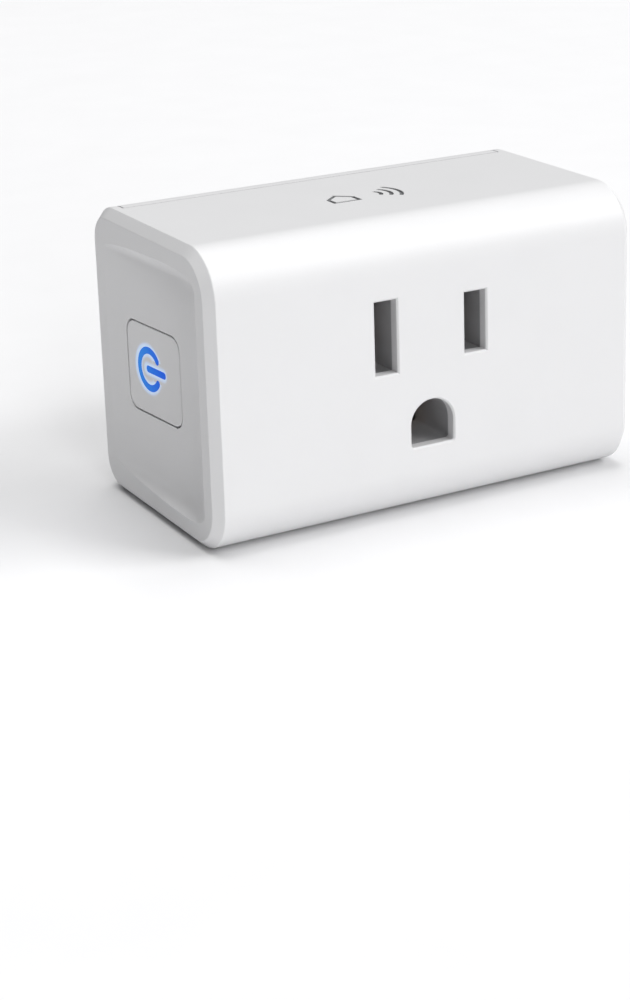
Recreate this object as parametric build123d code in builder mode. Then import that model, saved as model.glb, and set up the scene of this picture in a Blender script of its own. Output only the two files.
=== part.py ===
from build123d import *
import os
from math import cos, radians, sin, sqrt

os.makedirs("parts", exist_ok=True)

# A wall-mounted smart plug for the North American outlet, in millimetres.
# The origin is the centre of the back face, which meets the wall plate:
# +X is to the right seen from the front, +Y goes into the wall, +Z is up.

# ---- Driving dimensions ---------------------------------------------------------------------

BODY_WIDTH = 60.0
BODY_DEPTH = 33.0
BODY_HEIGHT = 37.5
FRONT_RADIUS = 6.0
BACK_RADIUS = 4.5
END_CHAMFER = 1.15
EDGE_RADIUS = 0.2
WALL = 2.0
FIT = 0.05

# The rear cover fills a notch across the back of the shell, between its two ends.
SEAM_DEPTH = 5.6
SEAM_GAP = 0.2
NOTCH_WIDTH = 55.6
COVER_WIDTH = NOTCH_WIDTH - 2 * SEAM_GAP

# Each end is scooped for the fingers: flush at the back, it deepens towards the front and then
# curves up to the front rim.
SCOOP_SLOPE = 5.1
SCOOP_START = 3.5
SCOOP_FRONT_RIM = 3.2
SCOOP_HEIGHT = 31.3
SCOOP_CURVE = 14.5
SCOOP_FILLET = 2.0
END_WALL = 1.6

# Standard outlet and blade pattern: two parallel slots with the earth hole below.
SLOT_PITCH = 12.7
SLOT_Z = 5.05
EARTH_Z = SLOT_Z - 11.9
SLOT_WIDTH = 3.1
NEUTRAL_SLOT_HEIGHT = 9.3
LINE_SLOT_HEIGHT = 7.8
EARTH_HOLE_RADIUS = 3.03
EARTH_HOLE_DROP = 2.85
BLADE_THICKNESS = 1.5
BLADE_LENGTH = 16.8
NEUTRAL_BLADE_HEIGHT = 7.94
LINE_BLADE_HEIGHT = 6.35
EARTH_PIN_RADIUS = 2.4
EARTH_PIN_LENGTH = 20.2
EARTH_PIN_TIP_RADIUS = 2.1
EARTH_COLLAR_RADIUS = 2.7

# Push button in the left scoop.
BUTTON_Y = -14.95
BUTTON_LENGTH = 13.0
BUTTON_HEIGHT = 11.8
BUTTON_CORNER = 1.8
BUTTON_GAP = 0.2
SYMBOL_Y = -13.87
SYMBOL_Z = 0.2
SYMBOL_RADIUS = 2.42
SYMBOL_STROKE = 0.9

# Boards: the main board stands across the back, the control board behind the button.
BOARD_THICKNESS = 1.6
BOARD_Y = -7.2
BOARD_WIDTH = 53.6
BOARD_HEIGHT = 31.0
CONTROL_X = -23.4
CONTROL_THICKNESS = 1.0
CONTROL_DEPTH = 20.8
CONTROL_HEIGHT = 27.0

SLOPE = radians(SCOOP_SLOPE)
HALF_WIDTH = BODY_WIDTH / 2
INNER_HEIGHT = BODY_HEIGHT - 2 * WALL

# Working planes. FRONT faces the user, BOARD is the main board's component face (its normal is
# the height above the board), CONTROL is the control board's face towards the button.
FRONT = Plane(origin=(0, -BODY_DEPTH, 0), x_dir=(1, 0, 0), z_dir=(0, -1, 0))
BEHIND_FACE = FRONT.offset(-WALL - FIT)
BOARD = Plane(origin=(0, BOARD_Y, 0), x_dir=(1, 0, 0), z_dir=(0, -1, 0))
CONTROL = Plane(origin=(CONTROL_X, 0, 0), x_dir=(0, -1, 0), z_dir=(-1, 0, 0))
LEFT_PANEL = Plane(
    origin=(-HALF_WIDTH, -SCOOP_START, 0),
    x_dir=(sin(SLOPE), -cos(SLOPE), 0),
    z_dir=(-cos(SLOPE), -sin(SLOPE), 0),
)
RIGHT_PANEL = Plane(
    origin=(HALF_WIDTH, -SCOOP_START, 0),
    x_dir=(-sin(SLOPE), -cos(SLOPE), 0),
    z_dir=(cos(SLOPE), -sin(SLOPE), 0),
)


def along_panel(y):
    """Distance along the scooped panel, from where it leaves the end face, to depth y."""
    return (-SCOOP_START - y) / cos(SLOPE)


# ---- Casing ---------------------------------------------------------------------------------


def casing_profile(inset):
    """Outline of the casing seen from its end, drawn inside the outer skin by inset."""
    with BuildSketch(Plane.YZ.offset(-HALF_WIDTH)) as profile:
        with Locations((-BODY_DEPTH / 2, 0)):
            Rectangle(BODY_DEPTH - 2 * inset, BODY_HEIGHT - 2 * inset)
        fillet(profile.vertices().group_by(Axis.X)[0], FRONT_RADIUS - inset)
        fillet(profile.vertices().group_by(Axis.X)[-1], BACK_RADIUS - inset)
    return profile.sketch


def earth_hole_outline(plane, margin):
    """Arched outline of the earth hole: round above, flat below."""
    radius = EARTH_HOLE_RADIUS + margin
    with BuildSketch(plane) as outline:
        with BuildLine():
            ThreePointArc((-radius, EARTH_Z), (0, EARTH_Z + radius), (radius, EARTH_Z))
            Polyline(
                (radius, EARTH_Z),
                (radius, EARTH_Z - EARTH_HOLE_DROP - margin),
                (-radius, EARTH_Z - EARTH_HOLE_DROP - margin),
                (-radius, EARTH_Z),
            )
        make_face()
        fillet(outline.vertices().group_by(Axis.Y)[0], 0.4)
    return outline.sketch


BUTTON_PLANE = Plane.YZ.offset(-HALF_WIDTH)


def button_outline(plane, margin, corner):
    """Rounded outline of the button on a plane parallel to the casing's ends or its panel."""
    on_panel = plane is not BUTTON_PLANE
    centre = along_panel(BUTTON_Y) if on_panel else BUTTON_Y
    with BuildSketch(plane) as outline:
        with Locations((centre, 0)):
            RectangleRounded(BUTTON_LENGTH + 2 * margin, BUTTON_HEIGHT + 2 * margin, corner)
    return outline.sketch


# The left scoop's cutter: its floor is the panel, which curves up to the front rim. It reaches
# past the back edge and out of the casing, and its upper and lower floor edges are rounded.
SCOOP_OVERRUN = 8.0
CURVE_ANGLE = 42
SCOOP_REACH = BODY_DEPTH - SCOOP_FRONT_RIM - SCOOP_START
rim_height = SCOOP_REACH * sin(SLOPE)
curve_length = sqrt(SCOOP_CURVE**2 - (SCOOP_CURVE - rim_height) ** 2)
with BuildPart() as scoop:
    with BuildSketch(Plane(LEFT_PANEL.origin, x_dir=LEFT_PANEL.x_dir, z_dir=-LEFT_PANEL.y_dir)):
        with BuildLine():
            floor = Line((-SCOOP_OVERRUN, 0), (SCOOP_REACH * cos(SLOPE) - curve_length, 0))
            curve = JernArc(floor @ 1, (1, 0), SCOOP_CURVE, CURVE_ANGLE)
            Polyline(curve @ 1, (-SCOOP_OVERRUN, (curve @ 1).Y), floor @ 0)
        make_face()
    extrude(amount=SCOOP_HEIGHT / 2, both=True)
    floor_faces = scoop.faces().sort_by(Axis.X)[-2:]
    fillet(
        [edge for edge in floor_faces.edges() if abs(edge.center().Z) > SCOOP_HEIGHT / 2 - FIT],
        SCOOP_FILLET,
    )

# The hollow follows the two panels, so the end walls keep one thickness.
with BuildPart() as hollow:
    extrude(casing_profile(WALL), amount=BODY_WIDTH)
    split(bisect_by=LEFT_PANEL.offset(-END_WALL), keep=Keep.BOTTOM)
    split(bisect_by=RIGHT_PANEL.offset(-END_WALL), keep=Keep.BOTTOM)
    with Locations((0, -SEAM_DEPTH, 0)):
        Box(
            BODY_WIDTH,
            BODY_DEPTH,
            BODY_HEIGHT,
            align=(Align.CENTER, Align.MAX, Align.CENTER),
            mode=Mode.INTERSECT,
        )

EAR_X = 12.4
EAR_PITCH = 8.0
EAR_CENTRE_Z = -2.0
EAR_THICKNESS = 1.5
STAKE_RADIUS = 0.8
CARRIER_Z = -0.2
FACE_THICKNESS = 1.5
BOSS_WIDTH = 20.0
BOSS_HEIGHT = 22.0
BOSS_GAP = 0.1
PICTOGRAM_X = 0.0
PICTOGRAM_Y = -17.0
PICTOGRAM_DEPTH = 0.2
RAIL_THICKNESS = 0.8
RAIL_DEPTH = 15.0
RAIL_Y = -19.5
SNAP_X = 28.0
SNAP_Y = -6.6

with BuildPart() as main_housing:
    extrude(casing_profile(0), amount=BODY_WIDTH)
    chamfer(main_housing.faces().filter_by(Axis.X).edges(), END_CHAMFER)
    chamfer_edges = [
        edge for edge in main_housing.edges() if abs(edge.center().X) > HALF_WIDTH - 1.01 * END_CHAMFER
    ]
    fillet(chamfer_edges, EDGE_RADIUS)
    add(scoop.part, mode=Mode.SUBTRACT)
    add(mirror(scoop.part, about=Plane.YZ, mode=Mode.PRIVATE), mode=Mode.SUBTRACT)
    add(hollow.part, mode=Mode.SUBTRACT)
    # notch for the rear cover
    with Locations((0, -SEAM_DEPTH, 0)):
        Box(
            NOTCH_WIDTH,
            SEAM_DEPTH + 1,
            BODY_HEIGHT + 2,
            align=(Align.CENTER, Align.MIN, Align.CENTER),
            mode=Mode.SUBTRACT,
        )
    # outlet openings, their outer edges eased
    with BuildSketch(FRONT):
        with Locations((-SLOT_PITCH / 2, SLOT_Z)):
            Rectangle(SLOT_WIDTH, NEUTRAL_SLOT_HEIGHT)
        with Locations((SLOT_PITCH / 2, SLOT_Z)):
            Rectangle(SLOT_WIDTH, LINE_SLOT_HEIGHT)
        add(earth_hole_outline(Plane.XY, 0))
    extrude(amount=-WALL - 1, mode=Mode.SUBTRACT)
    # shallow seat behind them for the contact carrier's boss
    with BuildSketch(FRONT.offset(-FACE_THICKNESS)):
        with Locations((0, CARRIER_Z)):
            RectangleRounded(BOSS_WIDTH, BOSS_HEIGHT, 1.0)
    extrude(amount=-WALL, mode=Mode.SUBTRACT)
    face_openings = main_housing.faces().filter_by(Axis.Y).sort_by(Axis.Y)[0].inner_wires()
    chamfer(face_openings.edges(), 0.2)
    # shallow pictogram on the top: a house beside three signal arcs
    with BuildSketch(Plane.XY.offset(BODY_HEIGHT / 2)):
        with Locations((PICTOGRAM_X - 3.2, PICTOGRAM_Y)):
            Polygon((-2.0, -1.9), (2.0, -1.9), (2.0, 0.3), (0, 2.1), (-2.0, 0.3), align=None)
            Polygon(
                (-1.45, -1.35), (1.45, -1.35), (1.45, 0.05), (0, 1.35), (-1.45, 0.05),
                align=None, mode=Mode.SUBTRACT,
            )
        for radius in (1.4, 2.7, 4.0):
            with Locations((PICTOGRAM_X + 1.0, PICTOGRAM_Y)):
                SlotArc(CenterArc((0, 0), radius, -38, 76, mode=Mode.PRIVATE), 0.55)
    extrude(amount=-PICTOGRAM_DEPTH, mode=Mode.SUBTRACT)
    # opening for the button
    extrude(button_outline(BUTTON_PLANE, 0, BUTTON_CORNER), amount=6.0, mode=Mode.SUBTRACT)
    # heat-staked posts that hold the contact carrier's ears
    with BuildSketch(FRONT.offset(-WALL)):
        with Locations((0, EAR_CENTRE_Z)):
            with GridLocations(2 * EAR_X, EAR_PITCH, 2, 2):
                Circle(STAKE_RADIUS)
    extrude(amount=-EAR_THICKNESS - 2 * FIT)
    with BuildSketch(FRONT.offset(-WALL - EAR_THICKNESS - 2 * FIT)):
        with Locations((0, EAR_CENTRE_Z)):
            with GridLocations(2 * EAR_X, EAR_PITCH, 2, 2):
                Circle(1.6 * STAKE_RADIUS)
    extrude(amount=-0.6, taper=20)
    # rails for the control board's upper and lower edges
    for side in (-1, 1):
        for rail_x in (
            CONTROL_X - RAIL_THICKNESS / 2 - FIT,
            CONTROL_X + CONTROL_THICKNESS + RAIL_THICKNESS / 2 + FIT,
        ):
            with Locations((rail_x, RAIL_Y, side * (INNER_HEIGHT / 2 - 1.7))):
                Box(RAIL_THICKNESS, RAIL_DEPTH, 3.6)
    # ribs that press on the main board's component face
    for side in (-1, 1):
        for rib_z in (10.0, -14.9):
            with Locations((side * (NOTCH_WIDTH / 2 - 0.6), BOARD_Y - FIT, rib_z)):
                Box(2.6, 5.0, 1.2, align=(Align.CENTER, Align.MAX, Align.CENTER))
    # grooves for the rear cover's snaps
    for side in (-1, 1):
        with Locations((0, SNAP_Y, side * INNER_HEIGHT / 2)):
            with GridLocations(SNAP_X, 1, 2, 1):
                Box(8.4, 1.0, 0.9, mode=Mode.SUBTRACT)

TONGUE_THICKNESS = 0.82
TONGUE_TOP = INNER_HEIGHT / 2 - 0.08
POST_RADIUS = 1.6
PEG_RADIUS = 0.7
BOARD_POSTS = [(-24.8, 13.4), (-24.8, -13.4), (25.2, 13.6), (9.4, -13.6)]
LABEL_DEPTH = 0.3

with BuildPart() as rear_cover:
    extrude(casing_profile(0), amount=BODY_WIDTH)
    with Locations((0, -SEAM_DEPTH + SEAM_GAP, 0)):
        Box(
            COVER_WIDTH,
            SEAM_DEPTH,
            BODY_HEIGHT,
            align=(Align.CENTER, Align.MIN, Align.CENTER),
            mode=Mode.INTERSECT,
        )
    with Locations((0, -WALL, 0)):
        Box(
            COVER_WIDTH - 2 * WALL,
            SEAM_DEPTH,
            INNER_HEIGHT,
            align=(Align.CENTER, Align.MAX, Align.CENTER),
            mode=Mode.SUBTRACT,
        )
    # tongues that slide inside the shell, with the snap ridges on them
    for side in (-1, 1):
        with Locations((0, -WALL, side * (TONGUE_TOP - TONGUE_THICKNESS / 2))):
            Box(50.0, 5.2, TONGUE_THICKNESS, align=(Align.CENTER, Align.MAX, Align.CENTER))
        with Locations((0, (-WALL - SEAM_DEPTH + SEAM_GAP) / 2, side * TONGUE_TOP)):
            Box(50.0, SEAM_DEPTH - SEAM_GAP - WALL, 0.3)
        with Locations((0, SNAP_Y, side * TONGUE_TOP)):
            with GridLocations(SNAP_X, 1, 2, 1):
                Box(8.0, 0.7, 0.7)
    # posts with pegs that locate the main board
    with BuildSketch(Plane.XZ.offset(WALL)):
        with Locations(*BOARD_POSTS):
            Circle(POST_RADIUS)
    extrude(amount=-BOARD_Y - BOARD_THICKNESS - WALL - FIT)
    with BuildSketch(Plane.XZ.offset(WALL)):
        with Locations(*BOARD_POSTS):
            Circle(PEG_RADIUS)
    extrude(amount=-BOARD_Y - WALL + 0.7)
    # openings for the blades and the earth pin
    with BuildSketch(Plane.XZ):
        with Locations((-SLOT_PITCH / 2, SLOT_Z)):
            Rectangle(BLADE_THICKNESS + 2 * FIT, NEUTRAL_BLADE_HEIGHT + 2 * FIT)
        with Locations((SLOT_PITCH / 2, SLOT_Z)):
            Rectangle(BLADE_THICKNESS + 2 * FIT, LINE_BLADE_HEIGHT + 2 * FIT)
        with Locations((0, EARTH_Z)):
            Circle(EARTH_COLLAR_RADIUS + FIT)
    extrude(amount=WALL + 0.5, mode=Mode.SUBTRACT)
    # shallow field for the rating print, around a raised island that carries the blades
    with BuildSketch(Plane.XZ):
        RectangleRounded(48.0, 30.0, 2.5)
        with Locations((0, -0.9)):
            RectangleRounded(25.0, 26.0, 2.5, mode=Mode.SUBTRACT)
    extrude(amount=LABEL_DEPTH, mode=Mode.SUBTRACT)

# ---- Blades and earth pin -------------------------------------------------------------------

SHOULDER_Y = -WALL - FIT
SHOULDER_THICKNESS = 1.3
SHOULDER_EXTRA = 2.4
TAIL_END_Y = BOARD_Y - 1.0
TAIL_HEIGHT = 4.0
RETAINER_THICKNESS = 2.35


def plug_blade(x, height):
    """Flat blade with a pierced tip, shoulders inside the cover and a tail to the board."""
    with BuildPart() as blade:
        with BuildSketch(Plane.YZ.offset(x - BLADE_THICKNESS / 2)) as outline:
            with Locations(((BLADE_LENGTH + SHOULDER_Y) / 2, SLOT_Z)):
                Rectangle(BLADE_LENGTH - SHOULDER_Y, height)
            chamfer(outline.vertices().group_by(Axis.X)[-1], 1.2)
            with Locations((SHOULDER_Y - SHOULDER_THICKNESS / 2, SLOT_Z)):
                Rectangle(SHOULDER_THICKNESS, height + SHOULDER_EXTRA)
            with Locations(((SHOULDER_Y + TAIL_END_Y) / 2, SLOT_Z)):
                Rectangle(SHOULDER_Y - TAIL_END_Y, TAIL_HEIGHT)
            with Locations((BLADE_LENGTH - 5.2, SLOT_Z)):
                Circle(1.6, mode=Mode.SUBTRACT)
        extrude(amount=BLADE_THICKNESS)
        chamfer(blade.edges().group_by(Axis.Y)[-1].filter_by(Axis.Z), 0.45)
    return blade


neutral_blade = plug_blade(-SLOT_PITCH / 2, NEUTRAL_BLADE_HEIGHT)
line_blade = plug_blade(SLOT_PITCH / 2, LINE_BLADE_HEIGHT)

FLANGE_RADIUS = 3.3
EARTH_TAIL_RADIUS = 1.4
with BuildPart() as earth_pin:
    with BuildSketch(Plane.XY.offset(EARTH_Z)):
        with BuildLine():
            Polyline(
                (0, EARTH_PIN_LENGTH),
                (0, TAIL_END_Y),
                (EARTH_TAIL_RADIUS, TAIL_END_Y),
                (EARTH_TAIL_RADIUS, SHOULDER_Y - SHOULDER_THICKNESS),
                (FLANGE_RADIUS, SHOULDER_Y - SHOULDER_THICKNESS),
                (FLANGE_RADIUS, SHOULDER_Y),
                (EARTH_COLLAR_RADIUS, SHOULDER_Y),
                (EARTH_COLLAR_RADIUS, 0),
                (EARTH_PIN_RADIUS, 0.5),
                (EARTH_PIN_RADIUS, EARTH_PIN_LENGTH),
                (0, EARTH_PIN_LENGTH),
            )
        make_face()
    revolve(axis=Axis((0, 0, EARTH_Z), (0, 1, 0)))
    fillet(earth_pin.faces().sort_by(Axis.Y)[-1].edges(), EARTH_PIN_TIP_RADIUS)

# Moulded plate that clamps the shoulders and the pin's flange against the rear cover.
with BuildPart() as blade_retainer:
    with BuildSketch(Plane.XZ.offset(-SHOULDER_Y)):
        with Locations((0, -0.6)):
            RectangleRounded(22.4, 22.6, 1.5)
    extrude(amount=RETAINER_THICKNESS)
    with BuildSketch(Plane.XZ.offset(-SHOULDER_Y)):
        with Locations((-SLOT_PITCH / 2, SLOT_Z)):
            Rectangle(BLADE_THICKNESS + 0.2, NEUTRAL_BLADE_HEIGHT + SHOULDER_EXTRA + 0.2)
        with Locations((SLOT_PITCH / 2, SLOT_Z)):
            Rectangle(BLADE_THICKNESS + 0.2, LINE_BLADE_HEIGHT + SHOULDER_EXTRA + 0.2)
        with Locations((0, EARTH_Z)):
            Circle(FLANGE_RADIUS + 0.1)
    extrude(amount=SHOULDER_THICKNESS + FIT, mode=Mode.SUBTRACT)
    with BuildSketch(Plane.XZ.offset(-SHOULDER_Y)):
        with Locations((-SLOT_PITCH / 2, SLOT_Z), (SLOT_PITCH / 2, SLOT_Z)):
            Rectangle(BLADE_THICKNESS + 0.2, TAIL_HEIGHT + 0.2)
        with Locations((0, EARTH_Z)):
            Circle(EARTH_TAIL_RADIUS + 0.1)
    extrude(amount=RETAINER_THICKNESS, mode=Mode.SUBTRACT)

# ---- Outlet contacts ------------------------------------------------------------------------

CARRIER_WIDTH = 21.8
CARRIER_HEIGHT = 23.6
CARRIER_DEPTH = 17.3
GUIDE_DEPTH = 4.5
GUIDE_MARGIN = 0.15
POCKET_WIDTH = 5.4
EARTH_POCKET = 7.6
MOUTH_Y = -BODY_DEPTH + WALL + GUIDE_DEPTH + 0.25
EARTH_GUIDE_DEPTH = 7.5
EARTH_MOUTH_Y = -BODY_DEPTH + WALL + EARTH_GUIDE_DEPTH + 0.25
LEAF_THICKNESS = 0.6
LEAF_HEIGHT = 5.2
LEAF_SPREAD = 1.9
LEAF_PINCH = 0.85
CONTACT_BACK_Y = -BODY_DEPTH + WALL + FIT + CARRIER_DEPTH - LEAF_THICKNESS / 2 - FIT
CONTACT_TAIL_HEIGHT = 3.0
CONTACT_TAIL_END_Y = BOARD_Y + BOARD_THICKNESS + 0.8

with BuildPart() as contact_carrier:
    with BuildSketch(BEHIND_FACE):
        with Locations((0, CARRIER_Z)):
            RectangleRounded(CARRIER_WIDTH, CARRIER_HEIGHT, 1.2)
    extrude(amount=-CARRIER_DEPTH)
    with BuildSketch(BEHIND_FACE):
        with Locations((0, CARRIER_Z)):
            RectangleRounded(BOSS_WIDTH - 2 * BOSS_GAP, BOSS_HEIGHT - 2 * BOSS_GAP, 0.9)
    extrude(amount=WALL - FACE_THICKNESS)
    with BuildSketch(BEHIND_FACE):
        with Locations((0, EAR_CENTRE_Z)):
            RectangleRounded(2 * EAR_X + 3.6, EAR_PITCH + 3.6, 1.6)
    extrude(amount=-EAR_THICKNESS)
    with BuildSketch(BEHIND_FACE):
        with Locations((0, EAR_CENTRE_Z)):
            with GridLocations(2 * EAR_X, EAR_PITCH, 2, 2):
                Circle(STAKE_RADIUS + FIT)
    extrude(amount=-CARRIER_DEPTH, mode=Mode.SUBTRACT)
    # guide channels in line with the face's openings
    with BuildSketch(BEHIND_FACE.offset(WALL)):
        with Locations((-SLOT_PITCH / 2, SLOT_Z)):
            Rectangle(SLOT_WIDTH + 2 * GUIDE_MARGIN, NEUTRAL_SLOT_HEIGHT + 2 * GUIDE_MARGIN)
        with Locations((SLOT_PITCH / 2, SLOT_Z)):
            Rectangle(SLOT_WIDTH + 2 * GUIDE_MARGIN, LINE_SLOT_HEIGHT + 2 * GUIDE_MARGIN)
        add(earth_hole_outline(Plane.XY, GUIDE_MARGIN))
    extrude(amount=-WALL - CARRIER_DEPTH, mode=Mode.SUBTRACT)
    # wider pockets behind them for the contacts
    with BuildSketch(BEHIND_FACE.offset(-GUIDE_DEPTH)):
        with Locations((-SLOT_PITCH / 2, SLOT_Z)):
            Rectangle(POCKET_WIDTH, NEUTRAL_SLOT_HEIGHT + 1)
        with Locations((SLOT_PITCH / 2, SLOT_Z)):
            Rectangle(POCKET_WIDTH, LINE_SLOT_HEIGHT + 1)
    extrude(amount=-CARRIER_DEPTH, mode=Mode.SUBTRACT)
    with BuildSketch(BEHIND_FACE.offset(-EARTH_GUIDE_DEPTH)):
        with Locations((0, EARTH_Z)):
            Rectangle(EARTH_POCKET, EARTH_POCKET)
    extrude(amount=-CARRIER_DEPTH, mode=Mode.SUBTRACT)

# Plate that closes the back of the carrier, slotted for the three contact tails.
with BuildPart() as carrier_plate:
    with BuildSketch(BEHIND_FACE.offset(-CARRIER_DEPTH - FIT)):
        with Locations((0, CARRIER_Z)):
            RectangleRounded(CARRIER_WIDTH, CARRIER_HEIGHT, 1.2)
        with Locations(
            (-SLOT_PITCH / 2 - LEAF_SPREAD, SLOT_Z), (SLOT_PITCH / 2 + LEAF_SPREAD, SLOT_Z)
        ):
            Rectangle(LEAF_THICKNESS + 0.2, CONTACT_TAIL_HEIGHT + 0.2, mode=Mode.SUBTRACT)
        with Locations((0, EARTH_Z)):
            Rectangle(5.6, 6.4, mode=Mode.SUBTRACT)
    extrude(amount=-1.2)


def blade_contact(x, side):
    """Twin-leaf clip for one blade: flared mouth, pinched throat, web and a tail on one side."""
    with BuildPart() as contact:
        with BuildSketch(Plane.XY.offset(SLOT_Z - LEAF_HEIGHT / 2)):
            with BuildLine():
                Polyline(
                    (x - LEAF_SPREAD, MOUTH_Y),
                    (x - LEAF_PINCH, MOUTH_Y + 2.4),
                    (x - LEAF_PINCH, MOUTH_Y + 3.8),
                    (x - LEAF_SPREAD, MOUTH_Y + 8.5),
                    (x - LEAF_SPREAD, CONTACT_BACK_Y),
                    (x + LEAF_SPREAD, CONTACT_BACK_Y),
                    (x + LEAF_SPREAD, MOUTH_Y + 8.5),
                    (x + LEAF_PINCH, MOUTH_Y + 3.8),
                    (x + LEAF_PINCH, MOUTH_Y + 2.4),
                    (x + LEAF_SPREAD, MOUTH_Y),
                )
            trace(line_width=LEAF_THICKNESS)
        extrude(amount=LEAF_HEIGHT)
        with Locations((x + side * LEAF_SPREAD, CONTACT_BACK_Y, SLOT_Z)):
            Box(
                LEAF_THICKNESS,
                CONTACT_TAIL_END_Y - CONTACT_BACK_Y,
                CONTACT_TAIL_HEIGHT,
                align=(Align.CENTER, Align.MIN, Align.CENTER),
            )
    return contact


neutral_contact = blade_contact(-SLOT_PITCH / 2, -1)
line_contact = blade_contact(SLOT_PITCH / 2, 1)

EARTH_ARM_X = 2.45
EARTH_WEB_Z = EARTH_Z - 2.75
EARTH_CONTACT_LENGTH = 8.8
EARTH_TAIL_START_Y = EARTH_MOUTH_Y + 1.0
with BuildPart() as earth_contact:
    with BuildSketch(FRONT.offset(-BODY_DEPTH - EARTH_MOUTH_Y)):
        with BuildLine():
            Polyline(
                (-EARTH_ARM_X - 0.4, EARTH_Z + 2.3),
                (-EARTH_ARM_X, EARTH_Z + 1.2),
                (-EARTH_ARM_X, EARTH_WEB_Z),
                (EARTH_ARM_X, EARTH_WEB_Z),
                (EARTH_ARM_X, EARTH_Z + 1.2),
                (EARTH_ARM_X + 0.4, EARTH_Z + 2.3),
            )
        trace(line_width=LEAF_THICKNESS)
    extrude(amount=-EARTH_CONTACT_LENGTH)
    with Locations((0, EARTH_TAIL_START_Y, EARTH_WEB_Z)):
        Box(
            3.0,
            CONTACT_TAIL_END_Y - EARTH_TAIL_START_Y,
            LEAF_THICKNESS,
            align=(Align.CENTER, Align.MIN, Align.CENTER),
        )

# ---- Main board -----------------------------------------------------------------------------

# Parts stand on the board at (x, z); every lead passes a round hole in it.
LEAD_RADIUS = 0.3
LEAD_DEPTH = BOARD_THICKNESS + 0.8
STAND_OFF = 0.25
BULK_CAPACITORS = {"bulk_capacitor_upper": (-15.7, 11.0), "bulk_capacitor_lower": (-15.7, 2.6)}
OUTPUT_CAPACITOR = (-15.7, -13.0)
INDUCTOR = (-15.7, -6.0)
X_CAPACITOR = (19.0, 8.6)
VARISTOR = (18.4, 13.2)
FUSE = (0.0, 13.4)
BRIDGE = (-4.5, -13.0)
REGULATOR = (2.6, -13.0)
RELAY = (18.8, -4.4)
RELAY_PINS = [(-5.3, 2.0), (5.3, 2.0)]
HEADER_X = -20.9
HEADER_PITCH = 2.54
HEADER_PIN_HEIGHT = 1.25
RELAY_COMMON_Y = -8.55
RELAY_CONTACT_Y = 8.0
LEAD_PITCH = {
    "bulk": 3.5,
    "output": 2.0,
    "inductor": 5.0,
    "x_capacitor": 10.0,
    "varistor": 5.0,
    "fuse": 14.0,
}


def lead_pair(centre, pitch):
    """The two lead positions of a part whose leads lie side by side along X."""
    x, z = centre
    return [(x - pitch / 2, z), (x + pitch / 2, z)]


lead_holes = []
for centre in BULK_CAPACITORS.values():
    lead_holes += lead_pair(centre, LEAD_PITCH["bulk"])
lead_holes += lead_pair(OUTPUT_CAPACITOR, LEAD_PITCH["output"])
lead_holes += lead_pair(INDUCTOR, LEAD_PITCH["inductor"])
lead_holes += lead_pair(X_CAPACITOR, LEAD_PITCH["x_capacitor"])
lead_holes += lead_pair(VARISTOR, LEAD_PITCH["varistor"])
lead_holes += lead_pair(FUSE, LEAD_PITCH["fuse"])
lead_holes += [(RELAY[0] + x, RELAY[1] + z) for x, z in RELAY_PINS]
header_pins_z = [HEADER_PITCH * (number - 2) for number in range(5)]

with BuildPart() as main_board:
    with BuildSketch(BOARD):
        RectangleRounded(BOARD_WIDTH, BOARD_HEIGHT, 1.0)
        with Locations(*BOARD_POSTS):
            Circle(PEG_RADIUS + 0.1, mode=Mode.SUBTRACT)
        with Locations(*lead_holes):
            Circle(LEAD_RADIUS + 0.1, mode=Mode.SUBTRACT)
        with Locations(*[(HEADER_X, z) for z in header_pins_z]):
            Circle(0.5, mode=Mode.SUBTRACT)
        with Locations((-SLOT_PITCH / 2, SLOT_Z), (SLOT_PITCH / 2, SLOT_Z)):
            Rectangle(BLADE_THICKNESS + 0.2, TAIL_HEIGHT + 0.2, mode=Mode.SUBTRACT)
        with Locations(
            (-SLOT_PITCH / 2 - LEAF_SPREAD, SLOT_Z), (SLOT_PITCH / 2 + LEAF_SPREAD, SLOT_Z)
        ):
            Rectangle(LEAF_THICKNESS + 0.2, CONTACT_TAIL_HEIGHT + 0.2, mode=Mode.SUBTRACT)
        with Locations((0, EARTH_Z)):
            Circle(EARTH_TAIL_RADIUS + 0.1, mode=Mode.SUBTRACT)
        with Locations((0, EARTH_WEB_Z)):
            Rectangle(3.2, LEAF_THICKNESS + 0.2, mode=Mode.SUBTRACT)
        with Locations((RELAY[0], RELAY[1] + RELAY_COMMON_Y), (RELAY[0], RELAY[1] + RELAY_CONTACT_Y)):
            Rectangle(1.8, 1.2, mode=Mode.SUBTRACT)
    extrude(amount=-BOARD_THICKNESS)


def electrolytic_capacitor(centre, diameter, height, lead_pitch):
    """Sleeved can standing on the board, crimped near its base."""
    x, z = centre
    with BuildPart() as capacitor:
        with BuildSketch(BOARD.offset(STAND_OFF)):
            with Locations(centre):
                Circle(diameter / 2)
        extrude(amount=height)
        fillet(capacitor.edges().filter_by(GeomType.CIRCLE), 0.5)
        with BuildSketch(Plane.XY.offset(z)):
            with Locations((x + diameter / 2 + 0.15, BOARD_Y - STAND_OFF - 2.0)):
                Circle(0.5)
        revolve(axis=Axis((x, 0, z), (0, 1, 0)), mode=Mode.SUBTRACT)
        with BuildSketch(BOARD.offset(-LEAD_DEPTH)):
            with Locations(*lead_pair(centre, lead_pitch)):
                Circle(LEAD_RADIUS)
        extrude(amount=LEAD_DEPTH + 1.0)
    return capacitor


bulk_capacitors = {
    name: electrolytic_capacitor(centre, 8.0, 12.2, LEAD_PITCH["bulk"])
    for name, centre in BULK_CAPACITORS.items()
}
output_capacitor = electrolytic_capacitor(OUTPUT_CAPACITOR, 5.0, 8.0, LEAD_PITCH["output"])

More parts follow.
